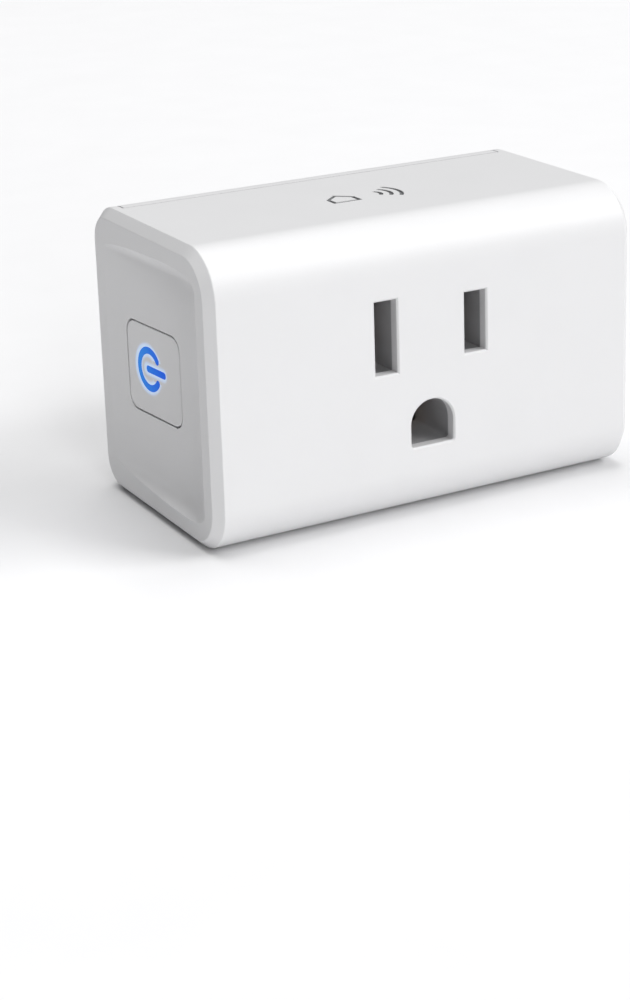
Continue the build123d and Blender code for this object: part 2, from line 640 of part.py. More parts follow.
# Drum-core inductor of the switched supply: a waisted ferrite bobbin and its copper winding.
INDUCTOR_RADIUS = 4.0
INDUCTOR_WAIST = 1.9
INDUCTOR_HEIGHT = 8.5
DRUM_FLANGE = 1.1
with BuildPart() as inductor_core:
    with BuildSketch(BOARD.offset(STAND_OFF)):
        with Locations(INDUCTOR):
            Circle(INDUCTOR_RADIUS)
    extrude(amount=INDUCTOR_HEIGHT)
    with BuildSketch(BOARD.offset(STAND_OFF + DRUM_FLANGE)):
        with Locations(INDUCTOR):
            Circle(INDUCTOR_RADIUS + 1)
            Circle(INDUCTOR_WAIST, mode=Mode.SUBTRACT)
    extrude(amount=INDUCTOR_HEIGHT - 2 * DRUM_FLANGE, mode=Mode.SUBTRACT)
    with BuildSketch(BOARD.offset(-LEAD_DEPTH)):
        with Locations(*lead_pair(INDUCTOR, LEAD_PITCH["inductor"])):
            Circle(LEAD_RADIUS)
    extrude(amount=LEAD_DEPTH + STAND_OFF + 0.5)

with BuildPart() as inductor_winding:
    with BuildSketch(BOARD.offset(STAND_OFF + DRUM_FLANGE + FIT)):
        with Locations(INDUCTOR):
            Circle(INDUCTOR_RADIUS - 0.4)
            Circle(INDUCTOR_WAIST + FIT, mode=Mode.SUBTRACT)
    extrude(amount=INDUCTOR_HEIGHT - 2 * DRUM_FLANGE - 2 * FIT)
    fillet(inductor_winding.faces().filter_by(GeomType.CYLINDER).sort_by(SortBy.AREA)[-1].edges(), 0.4)

# Box-shaped suppression capacitor across the mains.
with BuildPart() as x_capacitor:
    with BuildSketch(BOARD.offset(STAND_OFF)):
        with Locations(X_CAPACITOR):
            Rectangle(13.0, 4.8)
    extrude(amount=11.0)
    fillet(x_capacitor.edges().filter_by(Axis.Y), 0.5)
    fillet(x_capacitor.faces().sort_by(Axis.Y)[0].edges(), 0.4)
    with BuildSketch(BOARD.offset(-LEAD_DEPTH)):
        with Locations(*lead_pair(X_CAPACITOR, LEAD_PITCH["x_capacitor"])):
            Circle(LEAD_RADIUS)
    extrude(amount=LEAD_DEPTH + 1.0)

# Surge-absorbing disc, standing on edge.
VARISTOR_RADIUS = 4.9
VARISTOR_THICKNESS = 3.6
with BuildPart() as varistor:
    with BuildSketch(Plane.XY.offset(VARISTOR[1] - VARISTOR_THICKNESS / 2)):
        with Locations((VARISTOR[0], BOARD_Y - VARISTOR_RADIUS - 1.6)):
            Circle(VARISTOR_RADIUS)
    extrude(amount=VARISTOR_THICKNESS)
    fillet(varistor.edges().filter_by(GeomType.CIRCLE), 1.2)
    with BuildSketch(BOARD.offset(-LEAD_DEPTH)):
        with Locations(*lead_pair(VARISTOR, LEAD_PITCH["varistor"])):
            Circle(LEAD_RADIUS)
    extrude(amount=LEAD_DEPTH + 4.0)

# Fusible resistor, lying along the board on bent leads.
FUSE_AXIS_HEIGHT = 2.4
with BuildPart() as fuse_resistor:
    with BuildSketch(Plane.YZ.offset(FUSE[0] - 4.5)):
        with Locations((BOARD_Y - FUSE_AXIS_HEIGHT, FUSE[1])):
            Circle(1.7)
    extrude(amount=9.0)
    fillet(fuse_resistor.edges().filter_by(GeomType.CIRCLE), 0.6)
    with BuildLine():
        fuse_leads = FilletPolyline(
            (FUSE[0] - LEAD_PITCH["fuse"] / 2, BOARD_Y + LEAD_DEPTH, FUSE[1]),
            (FUSE[0] - LEAD_PITCH["fuse"] / 2, BOARD_Y - FUSE_AXIS_HEIGHT, FUSE[1]),
            (FUSE[0] + LEAD_PITCH["fuse"] / 2, BOARD_Y - FUSE_AXIS_HEIGHT, FUSE[1]),
            (FUSE[0] + LEAD_PITCH["fuse"] / 2, BOARD_Y + LEAD_DEPTH, FUSE[1]),
            radius=0.8,
        )
    with BuildSketch(Plane(origin=fuse_leads @ 0, z_dir=fuse_leads % 0)):
        Circle(LEAD_RADIUS)
    sweep()


def gull_wing_chip(plane, centre, length, width, height, legs):
    """Flat moulded package with a row of formed legs along each long side."""
    x, z = centre
    pitch = length / legs
    with BuildPart() as chip:
        with BuildSketch(plane.offset(0.15)):
            with Locations(centre):
                Rectangle(length, width)
        extrude(amount=height)
        chamfer(chip.faces().sort_by(Axis((0, 0, 0), plane.z_dir))[-1].edges(), 0.2)
        with BuildSketch(plane):
            with Locations(centre):
                with GridLocations(pitch, width + 1.2, legs, 2):
                    Rectangle(pitch * 0.4, 1.2)
        extrude(amount=0.25)
    return chip


bridge_rectifier = gull_wing_chip(BOARD, BRIDGE, 4.7, 3.8, 2.4, 2)
supply_regulator = gull_wing_chip(BOARD, REGULATOR, 4.9, 3.6, 1.5, 4)

# ---- Relay ----------------------------------------------------------------------------------

# The relay is described at (x, z) from its own centre and by its height above the board.
RELAY_WIDTH = 15.0
RELAY_LENGTH = 19.0
RELAY_HEIGHT = 15.4
RELAY_WALL = 0.8
COIL_Z = -1.4
PIVOT_Z = -7.4
PIVOT_HEIGHT = 12.5
YOKE_WIDTH = 8.4
YOKE_THICKNESS = 1.2
YOKE_BACK_Z = -8.0
PIVOT_RADIUS = 0.35
CORE_TOP = 11.7
CONTACT_Z = 6.2


def relay_plane(height):
    """Plane parallel to the board, centred on the relay, at a height above the board."""
    return Plane(
        origin=(RELAY[0], BOARD_Y - height, RELAY[1]), x_dir=(1, 0, 0), z_dir=(0, -1, 0)
    )


RELAY_SIDE = Plane(origin=(RELAY[0], BOARD_Y, RELAY[1]), x_dir=(0, 0, 1), z_dir=(1, 0, 0))

with BuildPart() as relay_case:
    with BuildSketch(relay_plane(0.1)):
        RectangleRounded(RELAY_WIDTH, RELAY_LENGTH, 0.6)
    extrude(amount=RELAY_HEIGHT - 0.1)
    fillet(relay_case.faces().sort_by(Axis.Y)[0].edges(), 0.4)
    with BuildSketch(relay_plane(0.1)):
        Rectangle(RELAY_WIDTH - 2 * RELAY_WALL, RELAY_LENGTH - 2 * RELAY_WALL)
    extrude(amount=RELAY_HEIGHT - RELAY_WALL - 0.1, mode=Mode.SUBTRACT)

with BuildPart() as relay_base:
    with BuildSketch(relay_plane(0.2)):
        Rectangle(RELAY_WIDTH - 2 * RELAY_WALL - 2 * FIT, RELAY_LENGTH - 2 * RELAY_WALL - 2 * FIT)
        with Locations(*RELAY_PINS):
            Circle(LEAD_RADIUS, mode=Mode.SUBTRACT)
        with Locations((0, RELAY_COMMON_Y), (0, RELAY_CONTACT_Y)):
            Rectangle(1.4, 0.8, mode=Mode.SUBTRACT)
    extrude(amount=1.7)

# Yoke: an L of soft iron, one leg under the coil and one up beside it to the armature's hinge.
with BuildPart() as relay_yoke:
    with BuildSketch(relay_plane(2.0)):
        with Locations((0, YOKE_BACK_Z)):
            Rectangle(YOKE_WIDTH, 10.5, align=(Align.CENTER, Align.MIN))
    extrude(amount=YOKE_THICKNESS)
    with BuildSketch(relay_plane(2.0)):
        with Locations((0, YOKE_BACK_Z)):
            Rectangle(YOKE_WIDTH, YOKE_THICKNESS, align=(Align.CENTER, Align.MIN))
    extrude(amount=PIVOT_HEIGHT - 0.1 - 2.0)
    with BuildSketch(RELAY_SIDE.offset(-YOKE_WIDTH)):
        with Locations((PIVOT_Z, PIVOT_HEIGHT)):
            Circle(PIVOT_RADIUS + FIT)
    extrude(amount=2 * YOKE_WIDTH, mode=Mode.SUBTRACT)

with BuildPart() as relay_core:
    with BuildSketch(relay_plane(2.0 + YOKE_THICKNESS)):
        with Locations((0, COIL_Z)):
            Circle(1.8)
    extrude(amount=CORE_TOP - 2.0 - YOKE_THICKNESS)
    with BuildSketch(relay_plane(CORE_TOP - 0.8)):
        with Locations((0, COIL_Z)):
            Circle(3.2)
    extrude(amount=0.8)

with BuildPart() as relay_bobbin:
    with BuildSketch(relay_plane(3.3)):
        with Locations((0, COIL_Z)):
            Circle(2.5)
    extrude(amount=7.5)
    for flange_height in (3.3, 10.1):
        with BuildSketch(relay_plane(flange_height)):
            with Locations((0, COIL_Z)):
                Circle(5.2)
        extrude(amount=0.7)
    with BuildSketch(relay_plane(3.0)):
        with Locations((0, COIL_Z)):
            Circle(1.8 + FIT)
    extrude(amount=9.0, mode=Mode.SUBTRACT)

with BuildPart() as relay_coil:
    with BuildSketch(relay_plane(4.0 + FIT)):
        with Locations((0, COIL_Z)):
            Circle(4.7)
            Circle(2.5 + FIT, mode=Mode.SUBTRACT)
    extrude(amount=6.1 - 2 * FIT)

# Armature: a flat iron plate, open at rest, that tilts down onto the core. A round bead under
# its heel rolls in a groove along the top of the yoke.
with BuildPart() as relay_armature:
    with BuildSketch(relay_plane(PIVOT_HEIGHT)):
        with Locations((0, YOKE_BACK_Z)):
            Rectangle(YOKE_WIDTH, 10.8, align=(Align.CENTER, Align.MIN))
    extrude(amount=1.2)
    fillet(relay_armature.edges().filter_by(Axis.Y), 0.4)
    with BuildSketch(RELAY_SIDE):
        with Locations((PIVOT_Z, PIVOT_HEIGHT)):
            Circle(PIVOT_RADIUS)
    extrude(amount=YOKE_WIDTH / 2 - 0.3, both=True)

# Moving contact: a bronze leaf riveted on the armature, with a silver contact at its free end.
with BuildPart() as relay_moving_contact:
    with BuildSketch(relay_plane(PIVOT_HEIGHT + 1.2)):
        with Locations((0, -5.6)):
            Rectangle(4.6, 13.4, align=(Align.CENTER, Align.MIN))
    extrude(amount=0.25)
    with BuildSketch(relay_plane(PIVOT_HEIGHT + 0.2)):
        with Locations((0, CONTACT_Z)):
            Circle(1.4)
    extrude(amount=1.1)

with BuildPart() as relay_fixed_contact:
    with BuildSketch(RELAY_SIDE):
        with BuildLine():
            Polyline((RELAY_CONTACT_Y, -LEAD_DEPTH), (RELAY_CONTACT_Y, 10.2), (4.9, 10.2))
        trace(line_width=0.7)
    extrude(amount=0.65, both=True)
    with BuildSketch(relay_plane(10.0)):
        with Locations((0, CONTACT_Z)):
            Circle(1.4)
    extrude(amount=1.5)

# Common terminal and hinge spring: a leaf up the back of the yoke, bent over the armature.
with BuildPart() as relay_hinge_spring:
    with BuildSketch(RELAY_SIDE):
        with BuildLine():
            Polyline(
                (RELAY_COMMON_Y, -LEAD_DEPTH),
                (RELAY_COMMON_Y, 3.0),
                (YOKE_BACK_Z - 0.35, 4.0),
                (YOKE_BACK_Z - 0.35, 14.1),
                (-6.2, 14.1),
            )
        trace(line_width=0.25)
    extrude(amount=0.65, both=True)

with BuildPart() as relay_coil_pins:
    with BuildSketch(relay_plane(-LEAD_DEPTH)):
        with Locations(*RELAY_PINS):
            Circle(LEAD_RADIUS)
    extrude(amount=LEAD_DEPTH + 3.1)

# ---- Control board --------------------------------------------------------------------------

CONTROL_CENTRE = 18.1
SWITCH = (19.4, 0.0)
LED_ALONG = 13.4
LED_SPREAD = 1.1
CONTROL_REAR = Plane(
    origin=(CONTROL_X + CONTROL_THICKNESS, 0, 0), x_dir=(0, 1, 0), z_dir=(1, 0, 0)
)
HEADER_DEPTH = -BOARD_Y + HEADER_PIN_HEIGHT

with BuildPart() as control_board:
    with BuildSketch(CONTROL):
        with Locations((CONTROL_CENTRE, 0)):
            RectangleRounded(CONTROL_DEPTH, CONTROL_HEIGHT, 0.8)
        with Locations(*[(HEADER_DEPTH, z) for z in header_pins_z]):
            Circle(0.5, mode=Mode.SUBTRACT)
    extrude(amount=-CONTROL_THICKNESS)

# Right-angle header between the two boards: a moulded strip and five square pins.
HEADER_STRIP_WIDTH = 2.3
HEADER_STRIP_HEIGHT = 2.5
HEADER_STRIP_LENGTH = 13.0
HEADER_PIN_SIDE = 0.5
with BuildPart() as header_pins:
    for pin_z in header_pins_z:
        with Locations((HEADER_X, BOARD_Y + LEAD_DEPTH, pin_z)):
            Box(
                HEADER_PIN_SIDE,
                LEAD_DEPTH + HEADER_PIN_HEIGHT + HEADER_PIN_SIDE / 2,
                HEADER_PIN_SIDE,
                align=(Align.CENTER, Align.MAX, Align.CENTER),
            )
        with Locations((HEADER_X + HEADER_PIN_SIDE / 2, -HEADER_DEPTH, pin_z)):
            Box(
                HEADER_X + HEADER_PIN_SIDE / 2 - CONTROL_X + 0.8,
                HEADER_PIN_SIDE,
                HEADER_PIN_SIDE,
                align=(Align.MAX, Align.CENTER, Align.CENTER),
            )

with BuildPart() as header_strip:
    with Locations((HEADER_X, BOARD_Y - HEADER_STRIP_HEIGHT / 2 - FIT, 0)):
        Box(HEADER_STRIP_WIDTH, HEADER_STRIP_HEIGHT, HEADER_STRIP_LENGTH)
    chamfer(header_strip.edges().filter_by(Axis.Y), 0.4)
    add(header_pins.part, mode=Mode.SUBTRACT)

# Tactile switch, pressed by the button's post.
SWITCH_SIZE = 4.5
SWITCH_WELL = 0.5
SWITCH_BASE_HEIGHT = 1.5
PLUNGER_TOP = 2.35
with BuildPart() as switch_base:
    with BuildSketch(CONTROL.offset(FIT)):
        with Locations(SWITCH):
            Rectangle(SWITCH_SIZE, SWITCH_SIZE)
    extrude(amount=SWITCH_BASE_HEIGHT - FIT)
    chamfer(switch_base.edges().filter_by(Axis.X), 0.35)
    with BuildSketch(CONTROL.offset(SWITCH_WELL)):
        with Locations(SWITCH):
            Circle(1.65)
    extrude(amount=SWITCH_BASE_HEIGHT, mode=Mode.SUBTRACT)

# Snap dome: a shallow dished steel disc in the well of the base.
with BuildPart() as switch_dome:
    with BuildSketch(CONTROL.offset(SWITCH_WELL + FIT)):
        with Locations(SWITCH):
            Circle(1.55)
    extrude(amount=0.25, taper=60)
    with BuildSketch(CONTROL.offset(SWITCH_WELL + FIT)):
        with Locations(SWITCH):
            Circle(1.4)
    extrude(amount=0.15, taper=60, mode=Mode.SUBTRACT)

with BuildPart() as switch_cover:
    with BuildSketch(CONTROL.offset(SWITCH_BASE_HEIGHT + 0.03)):
        with Locations(SWITCH):
            Rectangle(SWITCH_SIZE, SWITCH_SIZE)
            Circle(1.3, mode=Mode.SUBTRACT)
    extrude(amount=0.2)

with BuildPart() as switch_plunger:
    with BuildSketch(CONTROL.offset(SWITCH_BASE_HEIGHT - 0.28)):
        with Locations(SWITCH):
            Circle(1.5)
    extrude(amount=0.25)
    with BuildSketch(CONTROL.offset(SWITCH_BASE_HEIGHT - 0.1)):
        with Locations(SWITCH):
            Circle(1.15)
    extrude(amount=PLUNGER_TOP - SWITCH_BASE_HEIGHT + 0.1)
    fillet(switch_plunger.faces().sort_by(Axis.X)[0].edges(), 0.2)


def chip_led(along, height):
    """Small surface-mounted light source: a clear lens block on a narrow carrier."""
    with BuildPart() as led:
        with BuildSketch(CONTROL):
            with Locations((along, height)):
                Rectangle(1.6, 0.8)
        extrude(amount=0.3)
        with BuildSketch(CONTROL.offset(0.3)):
            with Locations((along, height)):
                Rectangle(1.1, 0.8)
        extrude(amount=0.35, taper=12)
    return led


status_led_blue = chip_led(LED_ALONG, LED_SPREAD)
status_led_amber = chip_led(LED_ALONG, -LED_SPREAD)

# Radio side of the control board: shielded processor, memory chip, crystal and aerial.
with BuildPart() as radio_shield:
    with BuildSketch(CONTROL_REAR):
        with Locations((-20.5, 0.0)):
            RectangleRounded(12.0, 12.5, 0.8)
    extrude(amount=1.5)
    fillet(radio_shield.faces().sort_by(Axis.X)[-1].edges(), 0.3)
    with BuildSketch(CONTROL_REAR):
        with Locations((-20.5, 0.0)):
            Rectangle(11.6, 12.1)
    extrude(amount=1.3, mode=Mode.SUBTRACT)

with BuildPart() as radio_processor:
    with BuildSketch(CONTROL_REAR):
        with Locations((-21.5, 1.5)):
            Rectangle(6.0, 6.0)
    extrude(amount=0.85)
    chamfer(radio_processor.faces().sort_by(Axis.X)[-1].edges(), 0.15)

with BuildPart() as crystal:
    with BuildSketch(CONTROL_REAR):
        with Locations((-16.6, -3.6)):
            RectangleRounded(2.5, 3.2, 0.4)
    extrude(amount=0.7)
    fillet(crystal.faces().sort_by(Axis.X)[-1].edges(), 0.15)

memory_chip = gull_wing_chip(CONTROL_REAR, (-20.5, -9.8), 4.9, 3.8, 1.3, 4)

with BuildPart() as radio_antenna:
    with BuildSketch(CONTROL_REAR):
        with BuildLine():
            Polyline(
                (-14.0, 8.0), (-14.0, 12.4), (-16.0, 12.4), (-16.0, 9.2), (-18.0, 9.2),
                (-18.0, 12.4), (-20.0, 12.4), (-20.0, 9.2), (-22.0, 9.2), (-22.0, 12.4),
                (-24.0, 12.4), (-24.0, 9.2), (-26.0, 9.2), (-26.0, 12.4),
            )
        trace(line_width=0.6)
    extrude(amount=0.1)

with BuildPart() as chip_resistors:
    with BuildSketch(CONTROL):
        with Locations((CONTROL_CENTRE, 9.6), (CONTROL_CENTRE, -9.6)):
            with GridLocations(3.2, 2.4, 4, 1):
                Rectangle(1.6, 0.8)
    extrude(amount=0.45)

with BuildPart() as chip_capacitors:
    with BuildSketch(BOARD):
        with Locations((0.4, 0.4), (0.4, 2.8), (-3.0, -1.0), (3.6, -1.0)):
            Rectangle(2.0, 1.25)
    extrude(amount=0.9)

# Insulating sheet that parts the mains side from the control board.
with BuildPart() as insulating_sheet:
    with BuildSketch(CONTROL_REAR.offset(1.85)):
        with Locations((-19.3, 0)):
            RectangleRounded(18.0, 28.4, 1.0)
    extrude(amount=0.25)

# ---- Button ---------------------------------------------------------------------------------

BUTTON_SKIN = 1.0
BUTTON_WALL = 0.9
FLANGE_MARGIN = 0.7
FLANGE_DEPTH = 0.8
POST_END_X = CONTROL_X - PLUNGER_TOP - FIT
LIGHT_PIPE_END_X = CONTROL_X - 1.2
GUIDE_PLATE = 0.6
BUTTON_POST_RADIUS = 1.1
BUTTON_POST_LENGTH = 2.3
SYMBOL_BAR_LENGTH = 4.7
SYMBOL_BAR_SHIFT = 1.62

# Light guide: the power symbol stands on a plate, and a square pipe leads back to the lamps.
symbol_ring = CenterArc((0, 0), SYMBOL_RADIUS, 36, 288)
with BuildPart() as symbol_light_guide:
    with BuildSketch(LEFT_PANEL):
        with Locations((along_panel(SYMBOL_Y), SYMBOL_Z)):
            SlotArc(symbol_ring, SYMBOL_STROKE)
        with Locations((along_panel(SYMBOL_Y) + SYMBOL_BAR_SHIFT, SYMBOL_Z)):
            SlotOverall(SYMBOL_BAR_LENGTH, SYMBOL_STROKE)
    extrude(amount=-BUTTON_SKIN - 0.1)
    with BuildSketch(LEFT_PANEL.offset(-BUTTON_SKIN)):
        with Locations((along_panel(-14.4), SYMBOL_Z)):
            RectangleRounded(7.0, 6.4, 1.0)
    extrude(amount=-GUIDE_PLATE)
    with BuildSketch(Plane.YZ.offset(LIGHT_PIPE_END_X)):
        with Locations((-LED_ALONG, 0)):
            RectangleRounded(4.0, 4.0, 0.6)
    extrude(until=Until.PREVIOUS, target=symbol_light_guide.part)

with BuildPart() as power_button:
    extrude(button_outline(BUTTON_PLANE, -BUTTON_GAP, BUTTON_CORNER), amount=6.0)
    extrude(
        button_outline(LEFT_PANEL.offset(-END_WALL - FIT), FLANGE_MARGIN, BUTTON_CORNER),
        amount=-FLANGE_DEPTH,
    )
    split(bisect_by=LEFT_PANEL, keep=Keep.BOTTOM)
    split(bisect_by=LEFT_PANEL.offset(-END_WALL - FIT - FLANGE_DEPTH), keep=Keep.TOP)
    edge_ring = power_button.faces().sort_by(Axis.X)[0].edges()
    fillet(edge_ring, 0.12)
    extrude(
        button_outline(LEFT_PANEL.offset(-BUTTON_SKIN), -BUTTON_WALL - BUTTON_GAP, 1.0),
        amount=-4.0,
        mode=Mode.SUBTRACT,
    )
    with BuildSketch(Plane.YZ.offset(POST_END_X)):
        with Locations((-SWITCH[0], SWITCH[1])):
            Circle(BUTTON_POST_RADIUS)
    extrude(amount=-BUTTON_POST_LENGTH)
    add(symbol_light_guide.part, mode=Mode.SUBTRACT)

# ---- Export ---------------------------------------------------------------------------------

pieces = {
    "main_housing": main_housing,
    "rear_cover": rear_cover,
    "blade_retainer": blade_retainer,
    "neutral_blade": neutral_blade,
    "line_blade": line_blade,
    "earth_pin": earth_pin,
    "contact_carrier": contact_carrier,
    "carrier_plate": carrier_plate,
    "neutral_contact": neutral_contact,
    "line_contact": line_contact,
    "earth_contact": earth_contact,
    "main_board": main_board,
    **bulk_capacitors,
    "output_capacitor": output_capacitor,
    "inductor_core": inductor_core,
    "inductor_winding": inductor_winding,
    "x_capacitor": x_capacitor,
    "varistor": varistor,
    "fuse_resistor": fuse_resistor,
    "bridge_rectifier": bridge_rectifier,
    "supply_regulator": supply_regulator,
    "relay_case": relay_case,
    "relay_base": relay_base,
    "relay_yoke": relay_yoke,
    "relay_core": relay_core,
    "relay_bobbin": relay_bobbin,
    "relay_coil": relay_coil,
    "relay_armature": relay_armature,
    "relay_moving_contact": relay_moving_contact,
    "relay_fixed_contact": relay_fixed_contact,
    "relay_hinge_spring": relay_hinge_spring,
    "relay_coil_pins": relay_coil_pins,
    "control_board": control_board,
    "header_strip": header_strip,
    "header_pins": header_pins,
    "switch_base": switch_base,
    "switch_dome": switch_dome,
    "switch_cover": switch_cover,
    "switch_plunger": switch_plunger,
    "status_led_blue": status_led_blue,
    "status_led_amber": status_led_amber,
    "radio_shield": radio_shield,
    "radio_processor": radio_processor,
    "crystal": crystal,
    "memory_chip": memory_chip,
    "radio_antenna": radio_antenna,
    "chip_resistors": chip_resistors,
    "chip_capacitors": chip_capacitors,
    "insulating_sheet": insulating_sheet,
    "symbol_light_guide": symbol_light_guide,
    "power_button": power_button,
}
for name, piece in pieces.items():
    piece.part.label = name
    export_step(piece.part, f"parts/{name}.step")
print(len(pieces), "pieces written")
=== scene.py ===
import math

import bpy
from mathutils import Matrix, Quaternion, Vector


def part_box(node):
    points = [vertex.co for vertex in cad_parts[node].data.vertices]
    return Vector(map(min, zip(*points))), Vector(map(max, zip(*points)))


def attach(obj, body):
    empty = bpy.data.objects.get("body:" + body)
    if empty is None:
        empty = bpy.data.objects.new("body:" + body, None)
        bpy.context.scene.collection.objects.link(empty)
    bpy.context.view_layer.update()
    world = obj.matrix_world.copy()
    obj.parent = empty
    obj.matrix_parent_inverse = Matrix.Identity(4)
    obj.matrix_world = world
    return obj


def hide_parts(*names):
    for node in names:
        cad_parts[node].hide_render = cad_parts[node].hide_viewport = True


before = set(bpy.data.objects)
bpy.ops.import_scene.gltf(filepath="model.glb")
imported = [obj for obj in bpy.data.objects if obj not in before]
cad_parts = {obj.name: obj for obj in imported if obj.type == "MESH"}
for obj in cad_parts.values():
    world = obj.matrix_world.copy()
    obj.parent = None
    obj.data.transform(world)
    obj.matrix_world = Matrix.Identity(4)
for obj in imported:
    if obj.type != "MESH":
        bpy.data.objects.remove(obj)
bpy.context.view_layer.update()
bpy.ops.object.select_all(action="DESELECT")
MM = 0.001


# ---- Studio: matt white paper under the plug, lit by three softboxes: above it, in front of it and
# to its right. The paper's own light fills the shaded end of the casing.
casing_low, casing_high = [Vector(corner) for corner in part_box("main_housing")]
cover_high = Vector(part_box("rear_cover")[1])
casing_middle = Vector((0, (casing_low.y + cover_high.y) / 2, (casing_low.z + casing_high.z) / 2))


def linear(hex_colour):
    """An sRGB hex colour as linear red, green, blue and alpha."""
    parts = [int(hex_colour[i : i + 2], 16) / 255 for i in (1, 3, 5)]
    return [c / 12.92 if c <= 0.04045 else ((c + 0.055) / 1.055) ** 2.4 for c in parts] + [1.0]


def add_node(tree, kind, given, output=None):
    """Adds a node with its settings, values and incoming links; gives one of its outputs."""
    node = tree.nodes.new(kind)
    for key, value in given.items():
        if isinstance(key, int):
            sockets = [node.inputs[key]]
        else:
            sockets = [socket for socket in node.inputs if socket.name == key and socket.enabled]
        if not sockets:
            setattr(node, key, value)
        elif isinstance(value, bpy.types.NodeSocket):
            tree.links.new(value, sockets[0])
        else:
            sockets[0].default_value = value
    if output:
        return node.outputs[output]
    return [socket for socket in node.outputs if socket.enabled][0]


def new_material(name, given):
    """A material, its node tree, its shader with the given values, and the place on the piece."""
    material = bpy.data.materials.new(name)
    material.use_nodes = True
    tree = material.node_tree
    shader = tree.nodes["Principled BSDF"]
    for key, value in given.items():
        shader.inputs[key].default_value = value
    return material, tree, shader, add_node(tree, "ShaderNodeTexCoord", {}, "Object")


# Paper: chalky, with a faint cloudiness from its fibres.
floor_paper, tree, shader, place = new_material("matt_paper", {"Roughness": 0.9, "IOR": 1.5})
clouds = {"Vector": place, "Scale": 1 / (15 * MM), "Detail": 4}
fibres = add_node(tree, "ShaderNodeTexNoise", clouds)
paper_white = {"data_type": "RGBA", "Factor": fibres}
paper_white |= {"A": linear("#ededee"), "B": linear("#e9e9ea")}
tree.links.new(add_node(tree, "ShaderNodeMix", paper_white), shader.inputs["Base Color"])

bpy.ops.mesh.primitive_plane_add(size=60.0, location=(0, 0, casing_low.z))
floor = bpy.context.object
floor.name = "studio_floor"
floor.data.materials.append(floor_paper)

room = bpy.data.worlds.new("studio_room")
room.use_nodes = True
room.node_tree.nodes["Background"].inputs["Color"].default_value = linear("#ffffff")
room.node_tree.nodes["Background"].inputs["Strength"].default_value = 0.02
bpy.context.scene.world = room
bpy.context.scene.view_settings.view_transform = "Standard"


def softbox(name, direction, distance, width, height, brightness):
    """A soft light aimed at the casing. A white face turned to it gets that brightness."""
    direction = Vector(direction).normalized()
    bpy.ops.object.light_add(type="AREA", location=casing_middle + distance * direction)
    light = bpy.context.object
    light.name = name
    light.data.shape = "RECTANGLE"
    light.data.size = width
    light.data.size_y = height
    light.data.energy = brightness * (math.pi * distance) ** 2
    light.rotation_euler = direction.to_track_quat("Z", "Y").to_euler()


softbox("front_softbox", (-0.15, -1.0, 0.30), 6.4, 2.0, 3.2, 0.34)
softbox("right_softbox", (0.6, -0.5, 0.6), 6.4, 4.0, 4.0, 0.65)
softbox("overhead_softbox", (0.0, 0.15, 1.0), 7.2, 6.4, 6.4, 0.95)

# Camera: in front of the button's end and above the plug.
CAMERA_TURN = math.radians(-29.45)
CAMERA_RISE = math.radians(17.15)
CAMERA_ROLL = math.radians(-1.5)
CAMERA_DISTANCE = 0.2886
camera_target = casing_middle + Vector((0.24 * MM, 0.5 * MM, -1.9 * MM))
camera_direction = Vector(
    (
        math.sin(CAMERA_TURN) * math.cos(CAMERA_RISE),
        -math.cos(CAMERA_TURN) * math.cos(CAMERA_RISE),
        math.sin(CAMERA_RISE),
    )
)
bpy.ops.object.camera_add(location=camera_target + CAMERA_DISTANCE * camera_direction)
camera = bpy.context.object
camera.name = "studio_camera"
camera_frame = camera_direction.to_track_quat("Z", "Y") @ Quaternion((0, 0, 1), CAMERA_ROLL)
camera.rotation_euler = camera_frame.to_euler()
camera.data.lens = 80.7
camera.data.shift_x = -0.05
camera.data.shift_y = -0.15
camera.data.clip_start = 0.01
bpy.context.scene.camera = camera


# ---- Contact carrier: a grey nylon block behind the face whose channels guide a plug's blades, and
# the plate that closes it. Injection moulded, and staked on the casing's posts.
def moulded(name, colour, shade, ior, roughness, grain, relief):
    """Moulded plastic: two close shades, and its mould's texture, size and depth in metres."""
    material, tree, shader, place = new_material(name, {"IOR": ior})
    cloud = add_node(tree, "ShaderNodeTexNoise", {"Vector": place, "Scale": 1 / (9 * MM)})
    tones = {"data_type": "RGBA", "Factor": cloud, "A": linear(colour), "B": linear(shade)}
    tree.links.new(add_node(tree, "ShaderNodeMix", tones), shader.inputs["Base Color"])
    pits = add_node(tree, "ShaderNodeTexNoise", {"Vector": place, "Scale": 1 / grain, "Detail": 3})
    gloss = {"Value": pits, "To Min": roughness - 0.08, "To Max": roughness + 0.08}
    tree.links.new(add_node(tree, "ShaderNodeMapRange", gloss), shader.inputs["Roughness"])
    texture = {"Height": pits, "Strength": 1.0, "Distance": relief}
    tree.links.new(add_node(tree, "ShaderNodeBump", texture), shader.inputs["Normal"])
    return material, tree, shader, place


def finish(material, *nodes):
    """Those CAD nodes get that material in their slots."""
    for node in nodes:
        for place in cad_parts[node].material_slots:
            place.material = material


# Nylon: a little sheen, with the mould's fine matt texture.
grey_nylon = moulded(
    "moulded_grey_nylon", "#bebec0", "#939395", 1.53, 0.55, 0.3 * MM, 0.004 * MM
)[0]
finish(grey_nylon, "contact_carrier", "carrier_plate")


